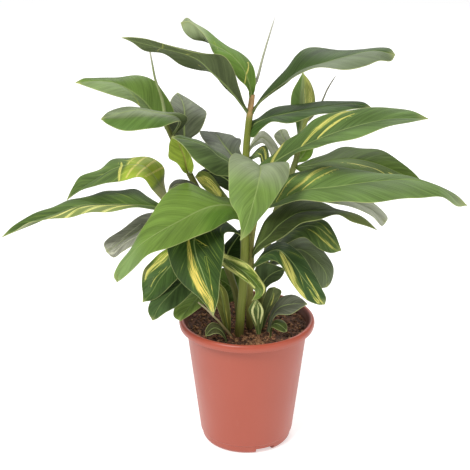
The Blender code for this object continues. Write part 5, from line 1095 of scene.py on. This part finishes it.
def tube_mesh(path, radii, sides):
    """Corners, faces and UVs of a round tube along a path; radii by row and side."""
    side, other, turn = tube_frame(path, sides)
    ring = np.cos(turn)[None, :, None] * side[:, None] + np.sin(turn)[None, :, None] * other[:, None]
    verts = (path[:, None] + ring * np.broadcast_to(radii, (len(path), sides))[..., None]).reshape(-1, 3)
    at = np.arange(len(path) * sides).reshape(len(path), sides)
    nxt = np.roll(at, -1, axis=1)
    faces = np.stack([nxt[:-1], at[:-1], at[1:], nxt[1:]], -1).reshape(-1, 4).tolist()
    faces += [at[0].tolist(), at[-1][::-1].tolist()]
    upward = (run_length(path) * 2)[:, None]
    uvs = np.stack(np.broadcast_arrays(np.abs(turn / math.pi - 1)[None], upward), -1).reshape(-1, 2)
    return verts, faces, uvs


def stem_skin(name, tones, top_height):
    """A stem's surface: fine fibres, and a tone each for the part in the soil, above it and at the top."""
    low, middle, high = tones
    skin = Skin(name)
    around, upward = skin.uv()
    fibres = skin.grain(skin.vector(skin.times(around, 14.0), skin.times(upward, 9.0)), 1.0, 3.0)
    spot = skin.place()
    blotch = skin.grain(spot, 55.0, 3.0)
    height = skin.split(spot)[2]
    colour = skin.mix(skin.ramp(height, *SOIL_TONE_END), low, middle)
    colour = skin.mix(skin.ramp(height, *(top_height - depth for depth in TOP_TONE_START)), colour, high)
    colour = skin.mix(skin.ramp(fibres, 0.35, 0.75, 0.0, 0.35), colour, FIBRE_COLOUR)
    colour = skin.mix(skin.ramp(blotch, 0.52, 0.75, 0.0, 0.45), colour, BLOTCH_COLOUR)
    return skin.finish(colour, 0.48, fibres, 0.3, 0.6 * MM, 0.2)


def make_cane(name, foot_radius, top_radius, points):
    """A cane wrapped in the sheaths of its leaves, each ending where its leaf leaves it."""
    way = rooted(points)
    path = smooth_line(way, int((way[-1, 2] - way[0, 2]) / CANE_ROW_SPACING))
    base = np.interp(path[:, 2], [way[2, 2], way[-1, 2]], [foot_radius, top_radius]) * CM
    radii = np.repeat(base[:, None], CANE_SIDES, axis=1)
    side, other, turn = tube_frame(path, CANE_SIDES)
    for grows_from, _, _, rib, _, _ in LEAVES.values():
        if grows_from != name:
            continue
        rib = places(rib)
        height = rib[0, 2]
        i = int(np.abs(path[:, 2] - height).argmin())
        way_out = rib[1] - rib[0]
        facing = math.atan2(way_out @ other[i], way_out @ side[i])
        toward = (1 + np.cos(turn - facing)) / 2
        edge = height + SHEATH_EDGE - SHEATH_FALL * (1 - toward)
        below = edge[None] - path[:, 2][:, None]
        swell = eased(below, -1.2 * MM, 0.8 * MM) * np.exp(-np.maximum(below, 0) / SHEATH_FADE)
        radii = radii + swell * (SHEATH_LEAST + SHEATH_MORE * toward)[None] * MM
    verts, faces, uvs = tube_mesh(path, radii, CANE_SIDES)
    skin = stem_skin(name + "_skin", CANE_TONES[name], way[-1, 2])
    piece(name + "_sheathed", verts, faces, skin, name, "cane", uvs)
    return path


def make_spear(name, cane_path, foot_radius, tip_radius, points):
    """A rolled young leaf, slim and slightly twisted, on top of its cane."""
    top = cane_path[-1]
    onward = unit(top - cane_path[-2])
    way = np.vstack([top - onward * SPEAR_OVERLAP, top + onward * SPEAR_LEAD, places(points)])
    path = smooth_line(way, SPEAR_ROWS)
    turn = np.arange(SPEAR_SIDES) * TURN / SPEAR_SIDES
    part = np.linspace(0, 1, SPEAR_ROWS)[:, None]
    base = (foot_radius + (tip_radius - foot_radius) * part) * CM * (1 - 0.75 * eased(part, 0.9, 1.0))
    radii = base * (1 + 0.14 * np.cos(turn - 7 * part) + 0.10 * np.cos(2 * turn + 3 * part))
    verts, faces, uvs = tube_mesh(path, radii, SPEAR_SIDES)
    skin = stem_skin(name + "_skin", SPEAR_TONES[name], path[-1, 2])
    piece(name + "_rolled", verts, faces, skin, name, "spear", uvs)


def make_dry_stalk():
    """The dry stalk, shrunk and fibrous."""
    foot_radius, tip_radius, points = DRY_STALK
    way = rooted(points)
    path = smooth_line(way, STALK_ROWS)
    turn = np.arange(STALK_SIDES) * TURN / STALK_SIDES
    part = np.linspace(0, 1, STALK_ROWS)[:, None]
    base = np.interp(path[:, 2], [way[2, 2], way[-1, 2]], [foot_radius, tip_radius])[:, None] * CM
    radii = base * (1 + 0.12 * np.cos(3 * turn + 5 * part) + 0.10 * np.sin(9 * part * math.pi + turn))
    verts, faces, uvs = tube_mesh(path, radii, STALK_SIDES)
    skin = stem_skin("dry_stalk_skin", STALK_TONES, path[-1, 2])
    piece("dry_stalk_fibres", verts, faces, skin, "dry_stalk", uvs=uvs)


# Pot and soil


def pot_inner_radius(height):
    """The radius inside the pot's wall at a height."""
    part = (height - FOOT_STEP_HEIGHT) / (UNDER_LIP - FOOT_STEP_HEIGHT)
    return WALL_FOOT_RADIUS + part * (WALL_TOP_RADIUS - WALL_FOOT_RADIUS) - WALL_THICKNESS


def turned(profile, sides):
    """Corners and faces of a solid turned round Z, from a profile that starts and ends on the axis."""
    inner = np.array(profile[1:-1])
    angles = np.arange(sides) * TURN / sides
    ring = np.stack([np.cos(angles), np.sin(angles)], -1)
    body = np.concatenate([ring[None] * inner[:, :1, None],
                           np.broadcast_to(inner[:, 1][:, None, None], (len(inner), sides, 1))], -1)
    verts = np.vstack([[(0, 0, profile[0][1])], body.reshape(-1, 3), [(0, 0, profile[-1][1])]])
    at = 1 + np.arange(len(inner) * sides).reshape(len(inner), sides)
    nxt = np.roll(at, -1, axis=1)
    faces = np.stack([at[:-1], nxt[:-1], nxt[1:], at[1:]], -1).reshape(-1, 4).tolist()
    faces += [(0, n, a) for a, n in zip(at[0].tolist(), nxt[0].tolist())]
    last = len(verts) - 1
    faces += [(last, a, n) for a, n in zip(at[-1].tolist(), nxt[-1].tolist())]
    return verts, faces


def rounded(corners, radius, steps=4):
    """A profile with its corners rounded off, the ends kept."""
    corners = [np.array(c, float) for c in corners]
    line = [corners[0]]
    for before, here, after in zip(corners, corners[1:], corners[2:]):
        reach = min(radius, np.linalg.norm(before - here) * 0.45, np.linalg.norm(after - here) * 0.45)
        start = here + unit(before - here) * reach
        end = here + unit(after - here) * reach
        for s in np.linspace(0, 1, steps):
            line.append((1 - s) ** 2 * start + 2 * s * (1 - s) * here + s**2 * end)
    line.append(corners[-1])
    return [tuple(p) for p in line]


def recess_outline(middle):
    """The space under the base's edge where water leaves, seen from above."""
    half = DRAIN_WIDTH / 2
    return [polar(DRAIN_INNER_RADIUS, middle - half), polar(WALL_TOP_RADIUS, middle - half),
            polar(WALL_TOP_RADIUS, middle + half), polar(DRAIN_INNER_RADIUS, middle + half)]


def hole_outline(middle):
    """The round hole through the roof of a recess, seen from above."""
    x, y = polar(DRAIN_HOLE_PLACE, middle + DRAIN_HOLE_TURN)
    ring = [polar(DRAIN_HOLE_RADIUS, j * TURN / HOLE_SIDES) for j in range(HOLE_SIDES)]
    return [(x + across, y + along) for across, along in ring]


def cut_drains(thing, outline, low, high):
    """Takes an upright prism over the outline out of a solid at each of the drains."""
    verts = []
    faces = []
    for n in range(DRAIN_COUNT):
        corners = outline(DRAIN_FIRST_ANGLE + n * TURN / DRAIN_COUNT)
        count = len(corners)
        first = len(verts)
        verts += [(x, y, z) for z in (low, high) for x, y in corners]
        faces.append([first + j for j in reversed(range(count))])
        faces.append([first + count + j for j in range(count)])
        faces += [(first + j, first + (j + 1) % count, first + count + (j + 1) % count, first + count + j)
                  for j in range(count)]
    mesh = bpy.data.meshes.new("drains")
    mesh.from_pydata(verts, [], faces)
    tool = bpy.data.objects.new("drains", mesh)
    bpy.context.scene.collection.objects.link(tool)
    step = thing.modifiers.new("cut", "BOOLEAN")
    step.operation = "DIFFERENCE"
    step.solver = "EXACT"
    step.object = tool
    done = bpy.data.meshes.new_from_object(thing.evaluated_get(bpy.context.evaluated_depsgraph_get()))
    thing.modifiers.clear()
    thing.data = done
    bpy.data.objects.remove(tool, do_unlink=True)


def pot_skin():
    """Moulded plastic: satin, a little uneven in tone, with faint scuffs, a painted shadow under the lip
    and painted shade on the inner wall under the rim.
    """
    skin = Skin("pot_plastic")
    spot = skin.place()
    clouds = skin.grain(spot, 9.0, 3.0)
    fine = skin.grain(spot, 420.0, 2.0)
    stretched = skin.node("Mapping", {"Vector": spot, "Scale": (60.0, 60.0, 14.0)})[0]
    scuffs = skin.grain(stretched, 1.0, 4.0)
    height = skin.split(spot)[2]
    flat = skin.node("VectorMath", {0: spot, 1: (1.0, 1.0, 0.0)}, operation="MULTIPLY")[0]
    radius = skin.node("VectorMath", {0: flat}, operation="LENGTH")["Value"]
    colour = skin.mix(clouds, POT_DARK, POT_LIGHT)
    colour = skin.mix(skin.ramp(scuffs, 0.62, 0.80, 0.0, 0.14), colour, POT_SCUFF)
    rim = skin.ramp(height, POT_HEIGHT - 9 * MM, POT_HEIGHT - 1 * MM, 0.0, 0.5)
    colour = skin.mix(rim, colour, POT_RIM)
    colour = skin.mix(skin.ramp(height, 0.0, 9 * MM, 0.35, 0.0), colour, POT_FOOT)
    # Painted shadow under the lip: a dark band on the outer wall just below it
    lip_shadow = skin.times(skin.ramp(height, UNDER_LIP - 1.6 * MM, UNDER_LIP - 0.2 * MM),
                        skin.ramp(radius, WALL_TOP_RADIUS + 3 * MM, WALL_TOP_RADIUS + 5 * MM, 1.0, 0.0))
    colour = skin.mix(skin.times(lip_shadow, 0.8), colour, POT_LIP_SHADOW)
    # Painted shade on the inner wall just under the rim, broken up by the scuff grain
    inner_shade = skin.times(skin.ramp(height, POT_HEIGHT - 5 * MM, POT_HEIGHT - 1.5 * MM, 1.0, 0.0),
                       skin.ramp(radius, RIM_INNER_RADIUS - 0.2 * MM, RIM_INNER_RADIUS + 1 * MM, 1.0, 0.0))
    inner_shade = skin.times(inner_shade, skin.ramp(scuffs, 0.2, 0.6, 1.0, 0.7))
    inner_shade = skin.times(inner_shade, skin.ramp(height, UNDER_LIP - 4 * MM, UNDER_LIP - 1 * MM))
    colour = skin.mix(inner_shade, colour, POT_INNER_SHADE)
    return skin.finish(colour, skin.scaled(scuffs, 0.16, 0.31), fine, 0.10, 0.3 * MM)


def make_pot():
    """The pot with rounded edges, its recesses and drain holes."""
    skirt = RIM_RADIUS - LIP_THICKNESS
    flange = POT_HEIGHT - 3 * MM
    step = WALL_FOOT_RADIUS - FOOT_STEP_DEPTH
    outline = rounded([
        (0, 0), (FOOT_RADIUS - 12 * MM, 0), (FOOT_RADIUS, 0), (FOOT_RADIUS + 3.2 * MM, 1.4 * MM),
        (FOOT_RADIUS + 5.4 * MM, 4.6 * MM), (step, FOOT_STEP_HEIGHT - 1 * MM),
        (WALL_FOOT_RADIUS, FOOT_STEP_HEIGHT), (WALL_TOP_RADIUS, UNDER_LIP),
        (WALL_TOP_RADIUS + 3 * MM, flange - 2 * MM), (skirt - 3 * MM, flange), (skirt, flange),
        (skirt, UNDER_LIP), (RIM_RADIUS - 1 * MM, UNDER_LIP), (RIM_RADIUS, POT_HEIGHT - 5 * MM),
        (RIM_RADIUS - 1 * MM, POT_HEIGHT - 1.8 * MM), (RIM_RADIUS - 3 * MM, POT_HEIGHT),
        (RIM_INNER_RADIUS + 1.2 * MM, POT_HEIGHT), (RIM_INNER_RADIUS - 1 * MM, POT_HEIGHT - 1.8 * MM),
        (WALL_TOP_RADIUS + 0.9 * MM, POT_HEIGHT - 5.4 * MM), (WALL_TOP_RADIUS - WALL_THICKNESS, UNDER_LIP),
        (pot_inner_radius(FOOT_STEP_HEIGHT + 5 * MM), FOOT_STEP_HEIGHT + 5 * MM),
        (pot_inner_radius(FOOT_STEP_HEIGHT) - FOOT_STEP_DEPTH, FOOT_STEP_HEIGHT + 2 * MM),
        (FOOT_RADIUS - 6 * MM, DRAIN_DEPTH + WALL_THICKNESS), (0, DRAIN_DEPTH + WALL_THICKNESS)],
        POT_ROUNDING)
    pot = piece("pot_moulded", *turned(outline, POT_SIDES), pot_skin(), "pot", angle=POT_SHARP_ANGLE)
    cut_drains(pot, recess_outline, -10 * MM, DRAIN_DEPTH)
    cut_drains(pot, hole_outline, DRAIN_DEPTH - 3 * MM, DRAIN_DEPTH + 3 * MM)
    pot.data.shade_smooth()
    pot.data.set_sharp_from_angle(angle=math.radians(POT_SHARP_ANGLE))


def soil_level(x, y):
    """The uneven top of the soil, with crumbs."""
    waves = math.sin(95 * x + 1.3) * math.sin(80 * y + 0.4) + 0.6 * math.sin(170 * x - 140 * y)
    spot = Vector((x, y, 0))
    lumps = noise.fractal(spot * 140, 0.8, 2.1, 4)
    crumbs = noise.voronoi(spot * 330)[0][0]
    return SOIL_TOP + 0.8 * MM + 1.2 * MM * waves + 1.5 * MM * lumps - 1.5 * MM * crumbs


def soil_skin(name, dark, light, scale):
    """Damp, crumbly brown soil or bits of it."""
    skin = Skin(name)
    spot = skin.place()
    coarse = skin.grain(spot, scale, 5.0, 0.65)
    fine = skin.grain(spot, scale * 5, 3.0, 0.6)
    colour = skin.mix(skin.ramp(coarse, 0.35, 0.70), dark, light)
    colour = skin.mix(skin.ramp(fine, 0.60, 0.75, 0.0, 0.7), colour, SOIL_SPECK)
    # Painted shade: the low places of the fine grain, which are the hollows of the relief, darkened near
    # black
    colour = skin.mix(skin.ramp(fine, 0.25, 0.42, 0.8, 0.0), colour, SOIL_HOLLOW_SHADE)
    return skin.finish(colour, 0.92, fine, 0.8, 1.2 * MM)


def make_soil_body(rim):
    """The soil's body with a crumbly top."""
    top = [(rim * (1 - k / SOIL_RINGS) ** 0.8, SOIL_TOP) for k in range(SOIL_RINGS)]
    foot = FOOT_STEP_HEIGHT + 5 * MM
    profile = [(0, SOIL_FLOOR), (pot_inner_radius(FOOT_STEP_HEIGHT) - 3.2 * MM, SOIL_FLOOR),
               (pot_inner_radius(foot) - 0.6 * MM, foot), (rim - 0.4 * MM, SOIL_TOP - 4 * MM)]
    verts, faces = turned(profile + top + [(0, SOIL_TOP)], SOIL_SIDES)
    for p in verts:
        if p[2] > SOIL_TOP - 1 * MM:
            p[2] = soil_level(p[0], p[1])
    piece("soil_body", verts, faces, soil_skin("soil_skin", *SOIL_LOOK), "soil", angle=80)


def lump():
    """Corners and faces of an even lump with twenty sides."""
    corners = [(0, 0, 1)]
    for lag, height in ((0, 0.45), (FIFTH_TURN / 2, -0.45)):
        corners += [(*polar(0.9, k * FIFTH_TURN + lag), height) for k in range(5)]
    corners.append((0, 0, -1))
    ring = [(k, (k + 1) % 5) for k in range(5)]
    faces = [(0, 1 + k, 1 + n) for k, n in ring]
    faces += [(1 + k, 6 + k, 1 + n) for k, n in ring]
    faces += [(6 + k, 6 + n, 1 + n) for k, n in ring]
    faces += [(11, 6 + n, 6 + k) for k, n in ring]
    return np.array(corners), faces


def make_crumbs(name, rim, rng):
    """Loose crumbs of one kind on the soil."""
    count, low, high, heap_share, dark, light = CRUMBS[name]
    ball, hull = lump()
    verts = []
    faces = []
    for _ in range(count):
        x, y = polar((rim - CRUMB_GAP) * math.sqrt(rng.uniform()), rng.uniform(0, TURN))
        if heap_share and rng.uniform() < heap_share:
            x, y = rng.normal(HEAP_PLACE, HEAP_SPREAD)
        size = rng.uniform(low, high) * MM * np.array([1.0, rng.uniform(0.5, 0.9), rng.uniform(0.35, 0.8)])
        turn = rng.uniform(0, TURN)
        bit = ball * (1 + rng.uniform(-0.25, 0.25, (len(ball), 1))) * size
        bit[:, 2] += bit[:, 0] * rng.uniform(-0.5, 0.5)
        cos, sin = polar(1, turn)
        bit = bit @ np.array([[cos, sin, 0], [-sin, cos, 0], [0, 0, 1]])
        faces += [tuple(len(verts) + i for i in face) for face in hull]
        verts += (bit + (x, y, soil_level(x, y) + size[2] * 0.35)).tolist()
    piece(name, verts, faces, soil_skin(name, dark, light, CRUMB_GRAIN), slot="soil", angle=25)


def make_fibres(rim, rng):
    """Dry fibres that lie curled on the soil."""
    verts = []
    faces = []
    for _ in range(FIBRE_COUNT):
        x, y = polar((rim - FIBRE_START_GAP) * math.sqrt(rng.uniform()), rng.uniform(0, TURN))
        heading = rng.uniform(0, TURN)
        curl = rng.uniform(-1.4, 1.4)
        length = rng.uniform(5, 17) * MM
        path = []
        for k in range(FIBRE_STEPS + 1):
            path.append((x, y, soil_level(x, y) + rng.uniform(0.4, 1.3) * MM))
            step_x, step_y = polar(length / FIBRE_STEPS, heading + curl * k / FIBRE_STEPS)
            x += step_x
            y += step_y
        path = np.array(path)
        if np.hypot(path[:, 0], path[:, 1]).max() > rim - FIBRE_GAP:
            continue
        thick = rng.uniform(0.22, 0.55) * MM * (1 - 0.6 * np.linspace(0, 1, len(path))[:, None])
        bit, bit_faces, _ = tube_mesh(path, thick, FIBRE_SIDES)
        faces += [tuple(len(verts) + i for i in face) for face in bit_faces]
        verts += bit.tolist()
    piece("soil_fibres", verts, faces, soil_skin("soil_fibres", *SOIL_FIBRE_LOOK), slot="soil", angle=60)


def make_soil():
    """The soil's body, loose crumbs and fibres, all placed from one row of random draws."""
    rim = pot_inner_radius(SOIL_TOP) + 0.8 * MM
    make_soil_body(rim)
    rng = np.random.default_rng(SOIL_SEED)
    for name in CRUMBS:
        make_crumbs(name, rim, rng)
    make_fibres(rim, rng)


# Studio


def make_floor():
    """A wide pale floor."""
    skin = Skin("floor")
    for title, value in FLOOR_LOOK.items():
        skin.put(skin.shader.inputs[title], value)
    mesh = bpy.data.meshes.new("floor")
    corners = [(FLOOR_REACH * x, FLOOR_REACH * y, 0) for x, y in ((-1, -1), (1, -1), (1, 1), (-1, 1))]
    mesh.from_pydata(corners, [], [(0, 1, 2, 3)])
    mesh.materials.append(skin.made)
    floor = bpy.data.objects.new("floor", mesh)
    bpy.context.scene.collection.objects.link(floor)


def make_studio():
    """The floor, soft light and the photograph's viewpoint."""
    scene = bpy.context.scene
    scene.view_settings.view_transform = "Standard"
    scene.view_settings.look = "None"
    scene.view_settings.exposure = 0.0
    scene.view_settings.gamma = 1.0
    make_floor()
    world = bpy.data.worlds.new("studio")
    world.use_nodes = True
    world.node_tree.nodes["Background"].inputs["Color"].default_value = (1.0, 1.0, 1.0, 1.0)
    world.node_tree.nodes["Background"].inputs["Strength"].default_value = SKY_STRENGTH
    scene.world = world
    for name, (place, aim, size, power) in LIGHTS.items():
        light = bpy.data.lights.new(name, "AREA")
        light.shape = "SQUARE"
        light.size = size
        light.energy = power
        lamp = bpy.data.objects.new(name, light)
        lamp.location = place
        lamp.rotation_euler = (Vector(aim) - Vector(place)).to_track_quat("-Z", "Y").to_euler()
        scene.collection.objects.link(lamp)
    camera = bpy.data.cameras.new("camera")
    camera.sensor_width = CAMERA_SENSOR
    camera.lens = CAMERA_LENS
    camera.clip_end = CAMERA_RANGE
    eye = bpy.data.objects.new("camera", camera)
    eye.location = CAMERA_PLACE
    eye.rotation_euler = (math.radians(90 - CAMERA_DIP), 0, 0)
    scene.collection.objects.link(eye)
    scene.camera = eye


def main():
    """Builds the studio, the pot with its soil and the whole plant."""
    make_studio()
    make_pot()
    make_soil()
    paths = {name: make_cane(name, *cane) for name, cane in CANES.items()}
    for name, (cane, *spear) in SPEARS.items():
        make_spear(name, paths[cane], *spear)
    make_dry_stalk()
    for seed, (name, (_, tone, shade, *lines)) in enumerate(LEAVES.items(), start=1):
        make_leaf(name, tone, shade, lines, seed)


main()
